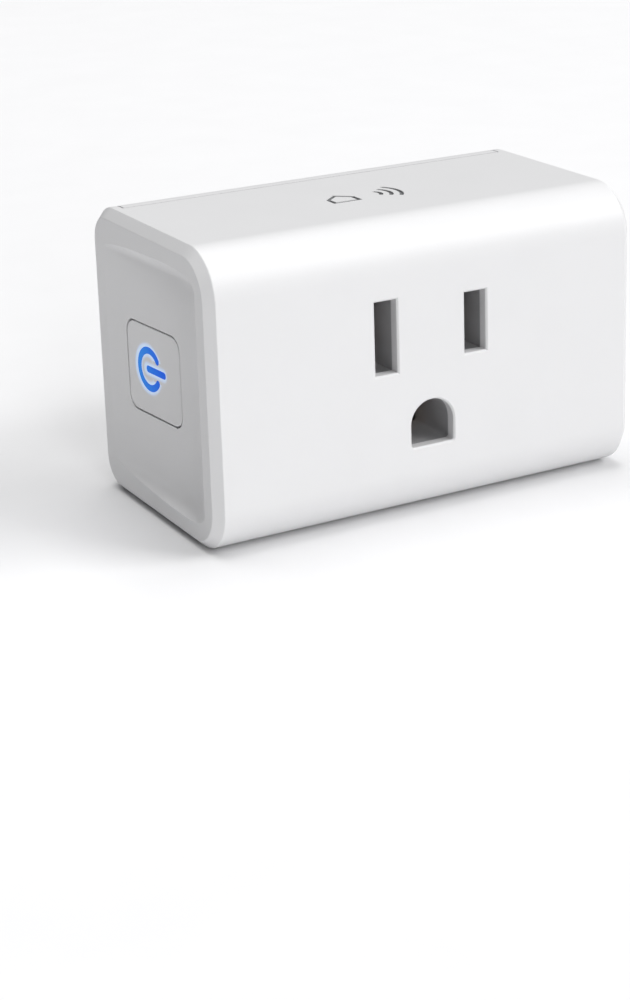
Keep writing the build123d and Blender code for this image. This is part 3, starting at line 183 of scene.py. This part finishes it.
# ---- Outlet contacts: phosphor bronze strip, stamped and bent into springs. Two grip a blade each
# and the third grips the earth pin; their tails are soldered to the main board.
def rolled_metal(name, colour, tint, roughness, streak, waviness):
    """Metal worked in one direction: streaks of that size in metres along X, Y and Z."""
    material, tree, shader, place = new_material(name, {"Metallic": 1.0})
    drawn = {"Vector": place, "Scale": [1 / size for size in streak]}
    strip = add_node(tree, "ShaderNodeMapping", drawn)
    lines = add_node(tree, "ShaderNodeTexNoise", {"Vector": strip, "Scale": 1.0, "Detail": 4})
    tones = {"data_type": "RGBA", "Factor": lines, "A": linear(colour), "B": linear(tint)}
    tree.links.new(add_node(tree, "ShaderNodeMix", tones), shader.inputs["Base Color"])
    gloss = {"Value": lines, "To Min": roughness - 0.12, "To Max": roughness + 0.12}
    tree.links.new(add_node(tree, "ShaderNodeMapRange", gloss), shader.inputs["Roughness"])
    texture = {"Height": lines, "Strength": 1.0, "Distance": waviness}
    tree.links.new(add_node(tree, "ShaderNodeBump", texture), shader.inputs["Normal"])
    return material, tree, shader, place


# Phosphor bronze: reddish gold, with rolling lines along the strip.
ALONG_DEPTH = (0.12 * MM, 5 * MM, 0.12 * MM)
bronze = rolled_metal(
    "rolled_phosphor_bronze", "#c79a63", "#b98a55", 0.34, ALONG_DEPTH, 0.002 * MM
)[0]
finish(bronze, "neutral_contact", "line_contact", "earth_contact")


# ---- Blades and earth pin: brass, nickel plated. The blades are stamped from strip and pierced at
# the tip, the pin is turned; a nylon plate behind the cover holds their shoulders.
# Nickel plate: warm white metal with fine lines from brushing.
BRUSHED = (0.08 * MM, 3 * MM, 0.08 * MM)
nickel = rolled_metal("brushed_nickel_plate", "#dcd8ce", "#cfcabf", 0.30, BRUSHED, 0.0015 * MM)[0]
finish(nickel, "neutral_blade", "line_blade", "earth_pin")
# Natural nylon: creamy and waxy.
natural_nylon = moulded(
    "moulded_natural_nylon", "#dedbd0", "#d6d2c5", 1.53, 0.5, 0.4 * MM, 0.004 * MM
)[0]
finish(natural_nylon, "blade_retainer", "relay_bobbin")


# ---- Main board: woven glass and epoxy with green solder mask over copper tracks. It stands on the
# cover's posts and carries the mains parts on its front.
def mask_between(tree, value, low, high, soft):
    """1 where the value lies between low and high, and 0 outside, with that soft edge."""
    inside = []
    for level, outer, inner in ((low, 0.0, 1.0), (high, 1.0, 0.0)):
        ramp = {"Value": value, "From Min": level - soft / 2, "From Max": level + soft / 2}
        ramp |= {"To Min": outer, "To Max": inner}
        inside.append(add_node(tree, "ShaderNodeMapRange", ramp))
    return add_node(tree, "ShaderNodeMath", {"operation": "MULTIPLY", 0: inside[0], 1: inside[1]})


def laminate(name, across, up):
    """Circuit board lying along those two axes: glass weave, tracks under the mask, glossy mask."""
    given = {"IOR": 1.55, "Roughness": 0.35, "Coat Weight": 0.4, "Coat Roughness": 0.15}
    material, tree, shader, place = new_material(name, given)
    weave = 0.0
    for axis in (across, up):
        thread = {"Vector": place, "bands_direction": axis}
        thread |= {"Scale": 1 / (12 * MM), "Distortion": 0.3}
        line = add_node(tree, "ShaderNodeTexWave", thread, "Fac")
        weave = add_node(tree, "ShaderNodeMath", {"operation": "ADD", 0: line, 1: weave})
    routes = {"Vector": place, "distance": "CHEBYCHEV", "feature": "F1", "Scale": 1 / (4 * MM)}
    nearest = add_node(tree, "ShaderNodeTexVoronoi", routes | {"Randomness": 0.9}, "Distance")
    track = mask_between(tree, nearest, 0.40, 0.52, 0.03)
    tones = {"data_type": "RGBA", "Factor": track, "A": linear("#0f4a2b"), "B": linear("#1b6a3d")}
    tree.links.new(add_node(tree, "ShaderNodeMix", tones), shader.inputs["Base Color"])
    rise = add_node(tree, "ShaderNodeMix", {"Factor": 0.8, "A": weave, "B": track})
    relief = {"Height": rise, "Strength": 0.6, "Distance": 0.03 * MM}
    tree.links.new(add_node(tree, "ShaderNodeBump", relief), shader.inputs["Normal"])
    return material


finish(laminate("solder_masked_laminate", "X", "Z"), "main_board")


# ---- Solder joints: tin alloy, wave soldered, one small cone round each lead where it comes
# through the back of the main board.
board_low, board_high = [Vector(corner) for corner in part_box("main_board")]
THROUGH_HOLE_PARTS = (
    "bulk_capacitor_upper",
    "bulk_capacitor_lower",
    "output_capacitor",
    "inductor_core",
    "x_capacitor",
    "varistor",
    "fuse_resistor",
    "relay_coil_pins",
    "relay_fixed_contact",
    "relay_hinge_spring",
    "header_pins",
    "neutral_contact",
    "line_contact",
    "earth_contact",
)
LEAD_SPACING = 1.2 * MM
JOINT_RADIUS = 0.85 * MM
JOINT_HEIGHT = 0.55 * MM


def lead_tips(node):
    """Where that part's leads come out behind the main board, as points on the board's back."""
    back = [v.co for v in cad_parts[node].data.vertices if v.co.y > board_high.y + 0.1 * MM]
    tips = []
    for corner in back:
        near = [tip for tip in tips if (tip[0] - corner).length < LEAD_SPACING]
        if near:
            near[0].append(corner)
        else:
            tips.append([corner])
    return [sum(tip, Vector()) / len(tip) for tip in tips]


# Solder: bright tin alloy, smooth where it froze, with a slight grain.
solder, tree, shader, place = new_material("frozen_tin_solder", {"Metallic": 1.0})
crystals = {"Vector": place, "Scale": 1 / (0.25 * MM), "Detail": 3}
grain = add_node(tree, "ShaderNodeTexNoise", crystals)
tones = {"data_type": "RGBA", "Factor": grain, "A": linear("#d8d9da"), "B": linear("#c3c5c7")}
tree.links.new(add_node(tree, "ShaderNodeMix", tones), shader.inputs["Base Color"])
gloss = add_node(tree, "ShaderNodeMapRange", {"Value": grain, "To Min": 0.2, "To Max": 0.45})
tree.links.new(gloss, shader.inputs["Roughness"])

joints = []
for node in THROUGH_HOLE_PARTS:
    for tip in lead_tips(node):
        bpy.ops.mesh.primitive_cone_add(
            vertices=20,
            radius1=JOINT_RADIUS,
            radius2=0.45 * JOINT_RADIUS,
            depth=JOINT_HEIGHT,
            location=(tip.x, board_high.y + JOINT_HEIGHT / 2, tip.z),
            rotation=(-math.pi / 2, 0, 0),
        )
        joint = bpy.context.object
        bpy.ops.object.mode_set(mode="EDIT")
        bpy.ops.mesh.select_all(action="SELECT")
        bpy.ops.mesh.bevel(offset=0.18 * MM, segments=3, profile=0.3)
        bpy.ops.object.mode_set(mode="OBJECT")
        bpy.ops.object.shade_smooth()
        joints.append(joint)
for joint in joints:
    joint.select_set(True)
bpy.context.view_layer.objects.active = joints[0]
bpy.ops.object.join()
bpy.ops.object.transform_apply(location=True, rotation=True, scale=True)
solder_joints = bpy.context.object
solder_joints.name = "solder_joints"
solder_joints.data.materials.append(solder)
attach(solder_joints, "casing")
bpy.ops.object.select_all(action="DESELECT")


# ---- Capacitors: rolled aluminium cans in a shrunk dark sleeve with a pale stripe down the
# negative side, open at the top where the can is scored to vent. Their leads are tinned wire.
def tin_behind(tree, shader, place, level):
    """Tinned metal on what lies behind that depth: the leads under a part's body."""
    depth = add_node(tree, "ShaderNodeSeparateXYZ", {"Vector": place}, "Y")
    lead = mask_between(tree, depth, level, 1.0, 0.04 * MM)
    body_colour = shader.inputs["Base Color"].links[0].from_socket
    tones = {"data_type": "RGBA", "Factor": lead, "A": body_colour, "B": linear("#cdcecf")}
    tree.links.new(add_node(tree, "ShaderNodeMix", tones), shader.inputs["Base Color"])
    body_gloss = shader.inputs["Roughness"].links[0].from_socket
    gloss = add_node(tree, "ShaderNodeMix", {"Factor": lead, "A": body_gloss, "B": 0.28})
    tree.links.new(gloss, shader.inputs["Roughness"])
    tree.links.new(lead, shader.inputs["Metallic"])


SLEEVE_OVERLAP = 0.8 * MM
for node in ("bulk_capacitor_upper", "bulk_capacitor_lower", "output_capacitor"):
    low, high = [Vector(corner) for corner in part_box(node)]
    centre = (low + high) / 2
    radius = (high.x - low.x) / 2
    # Shrunk sleeve: glossy PET film over the can.
    material, tree, shader, place = moulded(
        "shrunk_sleeve_" + node, "#20242e", "#1b1f28", 1.58, 0.28, 1.2 * MM, 0.006 * MM
    )
    moved = add_node(tree, "ShaderNodeMapping", {"Vector": place, "Location": -centre})
    flat = add_node(tree, "ShaderNodeVectorMath", {"operation": "MULTIPLY", 0: moved, 1: (1, 0, 1)})
    from_axis = add_node(tree, "ShaderNodeVectorMath", {"operation": "LENGTH", 0: flat}, "Value")
    sides = add_node(tree, "ShaderNodeSeparateXYZ", {"Vector": moved}).node
    height = -(high.y - low.y) / 2
    on_top = mask_between(tree, sides.outputs["Y"], height - 1 * MM, height + 0.3 * MM, 0.05 * MM)
    inner = mask_between(tree, from_axis, -1.0, radius - SLEEVE_OVERLAP, 0.05 * MM)
    score = mask_between(tree, sides.outputs["X"], -0.15 * MM, 0.15 * MM, 0.05 * MM)
    stripe_side = mask_between(tree, sides.outputs["X"], -1.0, -0.8 * radius, 0.03 * MM)
    bare = add_node(tree, "ShaderNodeMath", {"operation": "MULTIPLY", 0: on_top, 1: inner})
    colour = shader.inputs["Base Color"].links[0].from_socket
    for mask, paint in ((stripe_side, "#b9bdc6"), (bare, "#c8c9cb")):
        tones = {"data_type": "RGBA", "Factor": mask, "A": colour, "B": linear(paint)}
        colour = add_node(tree, "ShaderNodeMix", tones)
    scored = add_node(tree, "ShaderNodeMath", {"operation": "MULTIPLY", 0: score, 1: bare})
    tones = {"data_type": "RGBA", "Factor": scored, "A": colour, "B": linear("#77787a")}
    tree.links.new(add_node(tree, "ShaderNodeMix", tones), shader.inputs["Base Color"])
    tin_behind(tree, shader, place, high.y - 2.65 * MM)
    finish(material, node)


# ---- Inductor: a waisted ferrite drum, pressed and sintered, wound with enamelled copper wire.
def wound_wire(name, node, wire):
    """A close helix of wire on a coil's outside, as long and as wide as that CAD node."""
    low, high = [Vector(corner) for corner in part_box(node)]
    radius = (high.x - low.x) / 2
    turns = int((high.y - low.y - wire) / wire)
    first_turn = Vector(((low.x + high.x) / 2, low.y + wire / 2, (low.z + high.z) / 2))
    bpy.ops.mesh.primitive_circle_add(
        vertices=8, radius=wire / 2, location=first_turn + Vector((radius - wire / 2, 0, 0))
    )
    coil = bpy.context.object
    coil.name = name
    bpy.context.scene.cursor.location = first_turn
    bpy.ops.object.transform_apply(location=True)
    bpy.ops.object.origin_set(type="ORIGIN_CURSOR")
    screw = coil.modifiers.new("winding", "SCREW")
    screw.axis = "Y"
    screw.angle = 2 * math.pi
    screw.iterations = turns
    screw.screw_offset = (high.y - low.y - wire) / turns
    screw.steps = 28
    screw.render_steps = 28
    screw.use_smooth_shade = True
    bpy.ops.object.modifier_apply(modifier="winding")
    bpy.ops.object.transform_apply(location=True)
    bpy.context.scene.cursor.location = (0, 0, 0)
    bpy.ops.object.mode_set(mode="EDIT")
    bpy.ops.mesh.select_all(action="SELECT")
    bpy.ops.mesh.remove_doubles(threshold=0.001 * MM)
    bpy.ops.mesh.normals_make_consistent(inside=False)
    bpy.ops.mesh.select_all(action="DESELECT")
    bpy.ops.mesh.select_non_manifold()
    bpy.ops.mesh.fill_holes(sides=0)
    bpy.ops.object.mode_set(mode="OBJECT")
    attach(coil, "casing")
    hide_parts(node)
    bpy.ops.object.select_all(action="DESELECT")
    return coil


# Ferrite: dark grey ceramic with a sandy matt skin.
ferrite, tree, shader, place = moulded(
    "sintered_ferrite", "#3b3b3f", "#333337", 1.8, 0.6, 0.15 * MM, 0.01 * MM
)
tin_behind(tree, shader, place, board_low.y - 0.35 * MM)
finish(ferrite, "inductor_core")
# Enamelled copper: clear amber varnish over drawn copper.
enamelled_copper, tree, shader, place = rolled_metal(
    "enamelled_copper", "#c8743c", "#b8652f", 0.25, (1.5 * MM, 1.5 * MM, 1.5 * MM), 0.001 * MM
)
shader.inputs["Coat Weight"].default_value = 0.8
INDUCTOR_WIRE = 0.35 * MM
inductor_wire = wound_wire("inductor_wire", "inductor_winding", INDUCTOR_WIRE)
inductor_wire.data.materials.append(enamelled_copper)


# ---- Mains parts: a suppression capacitor potted in a box, a varistor disc dipped in epoxy, a
# banded fuse resistor, and a rectifier and a regulator in moulded packages.
# Potted box: yellow flame-proof polyester.
film_box, tree, shader, place = moulded(
    "moulded_yellow_polyester", "#d9a93a", "#d0a033", 1.55, 0.35, 0.4 * MM, 0.004 * MM
)
tin_behind(tree, shader, place, board_low.y - 0.35 * MM)
finish(film_box, "x_capacitor")
# Dipped epoxy: glossy and slightly lumpy.
dipped_epoxy, tree, shader, place = moulded(
    "dipped_blue_epoxy", "#2f5aa8", "#294f98", 1.55, 0.25, 1.6 * MM, 0.06 * MM
)
tin_behind(tree, shader, place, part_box("varistor")[1][1] - 4.0 * MM)
finish(dipped_epoxy, "varistor")

# Lacquered ceramic: grey-green enamel with four painted bands across the body, tinned ends.
BODY_HALF = 4.5 * MM
BAND_WIDTH = 0.7 * MM
BANDS = ((-2.7, "#5b3418"), (-1.4, "#15130f"), (-0.1, "#c7952e"), (1.9, "#a08a3c"))
lacquer, tree, shader, place = moulded(
    "lacquered_ceramic", "#7f9d8f", "#789686", 1.6, 0.3, 0.5 * MM, 0.006 * MM
)
along = add_node(tree, "ShaderNodeSeparateXYZ", {"Vector": place}, "X")
colour = shader.inputs["Base Color"].links[0].from_socket
for middle, paint in BANDS:
    band = mask_between(
        tree, along, middle * MM - BAND_WIDTH / 2, middle * MM + BAND_WIDTH / 2, 0.05 * MM
    )
    tones = {"data_type": "RGBA", "Factor": band, "A": colour, "B": linear(paint)}
    colour = add_node(tree, "ShaderNodeMix", tones)
body = mask_between(tree, along, -BODY_HALF, BODY_HALF, 0.05 * MM)
tones = {"data_type": "RGBA", "Factor": body, "A": linear("#cdcecf"), "B": colour}
tree.links.new(add_node(tree, "ShaderNodeMix", tones), shader.inputs["Base Color"])
bare_wire = add_node(tree, "ShaderNodeMapRange", {"Value": body, "To Min": 1.0, "To Max": 0.0})
tree.links.new(bare_wire, shader.inputs["Metallic"])
finish(lacquer, "fuse_resistor")


def chip_package(node, up, body_from, body_to):
    """Black moulded epoxy with a pin-one dimple, and tinned legs outside those two levels."""
    material, tree, shader, place = moulded(
        "moulded_epoxy_" + node, "#232325", "#1e1e20", 1.55, 0.5, 0.12 * MM, 0.006 * MM
    )
    low, high = [Vector(corner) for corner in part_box(node)]
    level = add_node(tree, "ShaderNodeSeparateXYZ", {"Vector": place}, up)
    inside = mask_between(tree, level, body_from, body_to, 0.03 * MM)
    colour = shader.inputs["Base Color"].links[0].from_socket
    tones = {"data_type": "RGBA", "Factor": inside, "A": linear("#cdcecf"), "B": colour}
    colour = add_node(tree, "ShaderNodeMix", tones)
    corner = low + DIMPLE_PLACE * (high - low)
    moved = add_node(tree, "ShaderNodeMapping", {"Vector": place, "Location": -corner})
    board_plane = (1, 0, 1) if node in MAIN_BOARD_CHIPS else (0, 1, 1)
    on_board = {"operation": "MULTIPLY", 0: moved, 1: board_plane}
    flat = add_node(tree, "ShaderNodeVectorMath", on_board)
    reach = add_node(tree, "ShaderNodeVectorMath", {"operation": "LENGTH", 0: flat}, "Value")
    dimple = mask_between(tree, reach, -1.0, DIMPLE_RADIUS, 0.05 * MM)
    tones = {"data_type": "RGBA", "Factor": dimple, "A": colour, "B": linear("#4c4c4f")}
    tree.links.new(add_node(tree, "ShaderNodeMix", tones), shader.inputs["Base Color"])
    legs = add_node(tree, "ShaderNodeMapRange", {"Value": inside, "To Min": 1.0, "To Max": 0.0})
    tree.links.new(legs, shader.inputs["Metallic"])
    finish(material, node)


MAIN_BOARD_CHIPS = ("bridge_rectifier", "supply_regulator")
DIMPLE_PLACE = 0.28
DIMPLE_RADIUS = 0.28 * MM
LEG_REACH = 1.2 * MM
for node in MAIN_BOARD_CHIPS:
    low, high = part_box(node)
    chip_package(node, "Z", low[2] + LEG_REACH, high[2] - LEG_REACH)


# ---- Relay: a moulded case glued over a base with the coil, the iron circuit and the contacts.
# Black polyester: moulded smooth, so it shines.
black_polyester = moulded(
    "moulded_black_polyester", "#1d1d1f", "#19191b", 1.57, 0.3, 0.5 * MM, 0.003 * MM
)[0]
finish(black_polyester, "relay_case", "relay_base", "header_strip")
# Soft iron: zinc plated, with a cool satin finish.
ANY_WAY = (0.3 * MM, 0.3 * MM, 0.3 * MM)
zinc = rolled_metal("zinc_plated_iron", "#b9bcc0", "#a7abb0", 0.38, ANY_WAY, 0.002 * MM)[0]
finish(zinc, "relay_yoke", "relay_core", "relay_armature")
finish(bronze, "relay_moving_contact", "relay_fixed_contact", "relay_hinge_spring")
# Tin plate: bright and slightly milky.
tin = rolled_metal("tin_plated_steel", "#cfd1d2", "#bfc2c4", 0.3, ANY_WAY, 0.001 * MM)[0]
finish(tin, "relay_coil_pins", "header_pins", "switch_cover", "crystal")
# The coil's real wire, under 0.1 mm, is drawn as 0.2 mm so that its turns show.
COIL_WIRE = 0.2 * MM
coil_wire = wound_wire("relay_coil_wire", "relay_coil", COIL_WIRE)
coil_wire.data.materials.append(enamelled_copper)


# ---- Control board: a thin laminate on edge behind the button, with the key switch, two lamps and
# the radio under its can. It is soldered to the main board through a row of header pins.
finish(laminate("solder_masked_thin_laminate", "Y", "Z"), "control_board")
# Stamped can: tin-plated steel with broad, shallow waves from the press.
BROAD_WAVES = (2 * MM, 2 * MM, 2 * MM)
can = rolled_metal("stamped_tin_plate", "#c9cac8", "#b9bbb9", 0.33, BROAD_WAVES, 0.01 * MM)[0]
finish(can, "radio_shield")
# Spring steel: polished dome of the key switch.
dome_steel = rolled_metal(
    "polished_spring_steel", "#c4c4c2", "#b5b5b3", 0.2, ANY_WAY, 0.0005 * MM
)[0]
finish(dome_steel, "switch_dome")
# Black nylon: matt.
black_nylon = moulded(
    "moulded_black_nylon", "#242426", "#1f1f21", 1.53, 0.5, 0.2 * MM, 0.004 * MM
)[0]
finish(black_nylon, "switch_base", "switch_plunger")
for node in ("radio_processor", "memory_chip"):
    low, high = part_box(node)
    reach = LEG_REACH if node == "memory_chip" else -LEG_REACH
    chip_package(node, "Z", low[2] + reach, high[2] - reach)
# Etched copper: bare, evenly dull.
etched_copper = rolled_metal("etched_copper", "#c98a5e", "#bb7d52", 0.35, ANY_WAY, 0.001 * MM)[0]
finish(etched_copper, "radio_antenna")
# Sintered chip parts: dense ceramic, tan for capacitors and near black for resistors.
tan_ceramic = moulded(
    "sintered_tan_ceramic", "#a88a66", "#9c7f5c", 1.7, 0.4, 0.1 * MM, 0.003 * MM
)[0]
finish(tan_ceramic, "chip_capacitors")
dark_ceramic = moulded(
    "glazed_dark_ceramic", "#2c2c30", "#3a3a3e", 1.6, 0.3, 0.1 * MM, 0.003 * MM
)[0]
finish(dark_ceramic, "chip_resistors")

# Lamps: clear resin cast over the chip; the blue one is lit.
for node, colour, shade, glow in (
    ("status_led_blue", "#9cc3f2", "#7fb0ee", 3.0),
    ("status_led_amber", "#f0c479", "#e6b565", 0.0),
):
    material, tree, shader, place = moulded(
        "cast_resin_" + node, colour, shade, 1.54, 0.15, 0.3 * MM, 0.002 * MM
    )
    shader.inputs["Emission Color"].default_value = linear("#2f7fff")
    shader.inputs["Emission Strength"].default_value = glow
    finish(material, node)

# Fish paper: vulcanised fibre, tan, with felted fibres.
fish_paper = moulded(
    "vulcanised_fibre_paper", "#cdbd92", "#c0ae80", 1.5, 0.75, 0.25 * MM, 0.02 * MM
)[0]
finish(fish_paper, "insulating_sheet")


# ---- Casing: a deep box and its rear cover, injection moulded in white polycarbonate. The mould is
# spark textured, so the skin is satin with a very fine grain. The two are welded at the seam.
# The grain, about 0.05 mm, is drawn as 0.25 mm so that it shows.
casing_plastic, tree, shader, place = moulded(
    "spark_textured_polycarbonate", "#dededf", "#dbdbdc", 1.58, 0.45, 0.25 * MM, 0.004 * MM
)
# The pictogram sunk in the top is painted grey in its hollow: painted shade for the shade that
# falls in its sunk strokes.
PICTOGRAM_HALF_WIDTH = 9 * MM
PICTOGRAM_MIDDLE = -17 * MM
PICTOGRAM_HALF_DEPTH = 4 * MM
PAINTED_SHADE_TOP = 0.1 * MM
PAINTED_SHADE_BOTTOM = 0.5 * MM
sides = add_node(tree, "ShaderNodeSeparateXYZ", {"Vector": place}).node
pictogram_painted_shade = mask_between(
    tree, sides.outputs["Z"], casing_high.z - PAINTED_SHADE_BOTTOM, casing_high.z - PAINTED_SHADE_TOP, 0.02 * MM
)
for axis, middle, half in (
    ("X", 0.0, PICTOGRAM_HALF_WIDTH),
    ("Y", PICTOGRAM_MIDDLE, PICTOGRAM_HALF_DEPTH),
):
    within = mask_between(tree, sides.outputs[axis], middle - half, middle + half, 0.1 * MM)
    pictogram_painted_shade = add_node(tree, "ShaderNodeMath", {"operation": "MULTIPLY", 0: pictogram_painted_shade, 1: within})
colour = shader.inputs["Base Color"].links[0].from_socket
# Painted shade: grey laid into the pictogram's hollow where shade falls in the strokes.
tones = {"data_type": "RGBA", "Factor": pictogram_painted_shade, "A": colour, "B": linear("#77787a")}
tree.links.new(add_node(tree, "ShaderNodeMix", tones), shader.inputs["Base Color"])
finish(casing_plastic, "main_housing", "rear_cover")


# ---- Button: a cap of the same plastic over a clear acrylic light guide whose raised power symbol
# shows in its face. Two lamps behind the guide light it blue, and the cap glows close round it.
button_low, button_high = [Vector(corner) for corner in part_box("power_button")]
SYMBOL_RADIUS = 2.42 * MM
SYMBOL_STROKE = 0.9 * MM
SYMBOL_GAP = 1.27 * MM
BAR_HALF = 1.9 * MM
BAR_SHIFT = 1.62 * MM
GLOW_REACH = 0.7 * MM
SYMBOL_BACK = 1.08 * MM
SYMBOL_UP = 0.2 * MM
symbol_centre = (button_low + button_high) / 2 + Vector((0, SYMBOL_BACK, SYMBOL_UP))


def symbol_distance(tree, place):
    """How far a point of the cap is from the middle of the symbol's ring or bar."""
    moved = add_node(tree, "ShaderNodeMapping", {"Vector": place, "Location": -symbol_centre})
    on_face = {"operation": "MULTIPLY", 0: moved, 1: (0, -1, 1)}
    flat = add_node(tree, "ShaderNodeVectorMath", on_face)
    reach = add_node(tree, "ShaderNodeVectorMath", {"operation": "LENGTH", 0: flat}, "Value")
    beyond_ring = {"operation": "SUBTRACT", 0: reach, 1: SYMBOL_RADIUS}
    off_ring = add_node(tree, "ShaderNodeMath", beyond_ring)
    off_ring = add_node(tree, "ShaderNodeMath", {"operation": "ABSOLUTE", 0: off_ring})
    sides = add_node(tree, "ShaderNodeSeparateXYZ", {"Vector": flat}).node
    ahead = sides.outputs["Y"]
    above = add_node(tree, "ShaderNodeMath", {"operation": "ABSOLUTE", 0: sides.outputs["Z"]})
    in_front = mask_between(tree, ahead, SYMBOL_RADIUS / 2, 1.0, 0.2 * MM)
    level = mask_between(tree, above, -1.0, SYMBOL_GAP, 0.2 * MM)
    gap = add_node(tree, "ShaderNodeMath", {"operation": "MULTIPLY", 0: in_front, 1: level})
    far = add_node(tree, "ShaderNodeMath", {"operation": "MULTIPLY", 0: gap, 1: 2 * MM})
    off_ring = add_node(tree, "ShaderNodeMath", {"operation": "ADD", 0: off_ring, 1: far})
    along = add_node(tree, "ShaderNodeMath", {"operation": "SUBTRACT", 0: ahead, 1: BAR_SHIFT})
    along = add_node(tree, "ShaderNodeMath", {"operation": "ABSOLUTE", 0: along})
    beyond = add_node(tree, "ShaderNodeMath", {"operation": "SUBTRACT", 0: along, 1: BAR_HALF})
    beyond = add_node(tree, "ShaderNodeMath", {"operation": "MAXIMUM", 0: beyond, 1: 0.0})
    corner = add_node(tree, "ShaderNodeCombineXYZ", {"X": beyond, "Y": above, "Z": 0.0})
    off_bar = add_node(tree, "ShaderNodeVectorMath", {"operation": "LENGTH", 0: corner}, "Value")
    return add_node(tree, "ShaderNodeMath", {"operation": "MINIMUM", 0: off_ring, 1: off_bar})


cap_plastic, tree, shader, place = moulded(
    "spark_textured_cap", "#dededf", "#dbdbdc", 1.58, 0.45, 0.25 * MM, 0.004 * MM
)
distance = symbol_distance(tree, place)
fade = {
    "Value": distance,
    "From Min": SYMBOL_STROKE / 2,
    "From Max": SYMBOL_STROKE / 2 + GLOW_REACH,
    "To Min": 1.0,
    "To Max": 0.0,
    "interpolation_type": "SMOOTHSTEP",
}
glow = add_node(tree, "ShaderNodeMapRange", fade)
tones = {"data_type": "RGBA", "Factor": glow, "A": linear("#000000"), "B": linear("#78b8ff")}
tree.links.new(add_node(tree, "ShaderNodeMix", tones), shader.inputs["Emission Color"])
shader.inputs["Emission Strength"].default_value = 0.4
finish(cap_plastic, "power_button")

# Acrylic with a matt face, lit from behind: the ring paler, the bar a deeper blue, with soft clouds
# from the moulding. Its face mirrors little.
matt_face = {"IOR": 1.49, "Roughness": 0.6, "Specular IOR Level": 0.15}
lit_acrylic, tree, shader, place = new_material("moulded_lit_blue_acrylic", matt_face)
shader.inputs["Base Color"].default_value = linear("#061b4c")
moved = add_node(tree, "ShaderNodeMapping", {"Vector": place, "Location": -symbol_centre})
sides = add_node(tree, "ShaderNodeSeparateXYZ", {"Vector": moved}).node
shift = {"Value": sides.outputs["Y"], "From Min": -3.0 * MM, "From Max": 2.2 * MM}
front_to_back = add_node(tree, "ShaderNodeMapRange", shift)
cloud = add_node(tree, "ShaderNodeTexNoise", {"Vector": place, "Scale": 1 / (0.8 * MM)})
clouded = add_node(tree, "ShaderNodeMix", {"Factor": 0.25, "A": front_to_back, "B": cloud})
tones = {"data_type": "RGBA", "Factor": clouded, "A": linear("#0c54d6"), "B": linear("#2f86d8")}
tree.links.new(add_node(tree, "ShaderNodeMix", tones), shader.inputs["Emission Color"])
shader.inputs["Emission Strength"].default_value = 0.9
finish(lit_acrylic, "symbol_light_guide")


# ---- Rating label: a satin polyester sticker in the shallow field on the cover's back. Only a
# plain ruled frame is printed on it, with no lettering.
LABEL_WIDTH = 9.6 * MM
LABEL_HEIGHT = 25.0 * MM
LABEL_THICKNESS = 0.1 * MM
LABEL_CORNER = 1.0 * MM
FIELD_DEPTH = 0.3 * MM
LABEL_X = -18.3 * MM
bpy.ops.mesh.primitive_cube_add(
    size=1.0, location=(LABEL_X, -FIELD_DEPTH + LABEL_THICKNESS / 2, 0)
)
label = bpy.context.object
label.name = "blank_rating_label"
label.scale = (LABEL_WIDTH, LABEL_THICKNESS, LABEL_HEIGHT)
bpy.ops.object.transform_apply(location=True, rotation=True, scale=True)
bpy.ops.object.mode_set(mode="EDIT")
bpy.ops.mesh.select_mode(type="EDGE")
bpy.ops.mesh.select_all(action="DESELECT")
bpy.ops.object.mode_set(mode="OBJECT")
for edge in label.data.edges:
    first, second = [label.data.vertices[index].co for index in edge.vertices]
    edge.select = abs(first.y - second.y) > LABEL_THICKNESS / 2
bpy.ops.object.mode_set(mode="EDIT")
bpy.ops.mesh.bevel(offset=LABEL_CORNER, segments=6)
bpy.ops.object.mode_set(mode="OBJECT")

polyester, tree, shader, place = moulded(
    "satin_polyester_film", "#d3d4d6", "#cfd0d2", 1.64, 0.35, 0.6 * MM, 0.002 * MM
)
moved = add_node(tree, "ShaderNodeMapping", {"Vector": place, "Location": (-LABEL_X, 0, 0)})
sides = add_node(tree, "ShaderNodeSeparateXYZ", {"Vector": moved}).node
from_middle = add_node(tree, "ShaderNodeMath", {"operation": "ABSOLUTE", 0: sides.outputs["X"]})
from_centre = add_node(tree, "ShaderNodeMath", {"operation": "ABSOLUTE", 0: sides.outputs["Z"]})
RULE = 0.15 * MM
RULE_MARGIN = 0.7 * MM
inside_x = mask_between(tree, from_middle, -1.0, LABEL_WIDTH / 2 - RULE_MARGIN, 0.02 * MM)
inside_z = mask_between(tree, from_centre, -1.0, LABEL_HEIGHT / 2 - RULE_MARGIN, 0.02 * MM)
rules = []
for value, edge, clear in (
    (from_middle, LABEL_WIDTH / 2 - RULE_MARGIN, inside_z),
    (from_centre, LABEL_HEIGHT / 2 - RULE_MARGIN, inside_x),
    (from_centre, LABEL_HEIGHT / 6, inside_x),
):
    line = mask_between(tree, value, edge - RULE, edge, 0.02 * MM)
    rules.append(add_node(tree, "ShaderNodeMath", {"operation": "MULTIPLY", 0: line, 1: clear}))
printed = add_node(tree, "ShaderNodeMath", {"operation": "MAXIMUM", 0: rules[0], 1: rules[1]})
printed = add_node(tree, "ShaderNodeMath", {"operation": "MAXIMUM", 0: printed, 1: rules[2]})
colour = shader.inputs["Base Color"].links[0].from_socket
tones = {"data_type": "RGBA", "Factor": printed, "A": colour, "B": linear("#6b6c6e")}
tree.links.new(add_node(tree, "ShaderNodeMix", tones), shader.inputs["Base Color"])
label.data.materials.append(polyester)
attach(label, "casing")
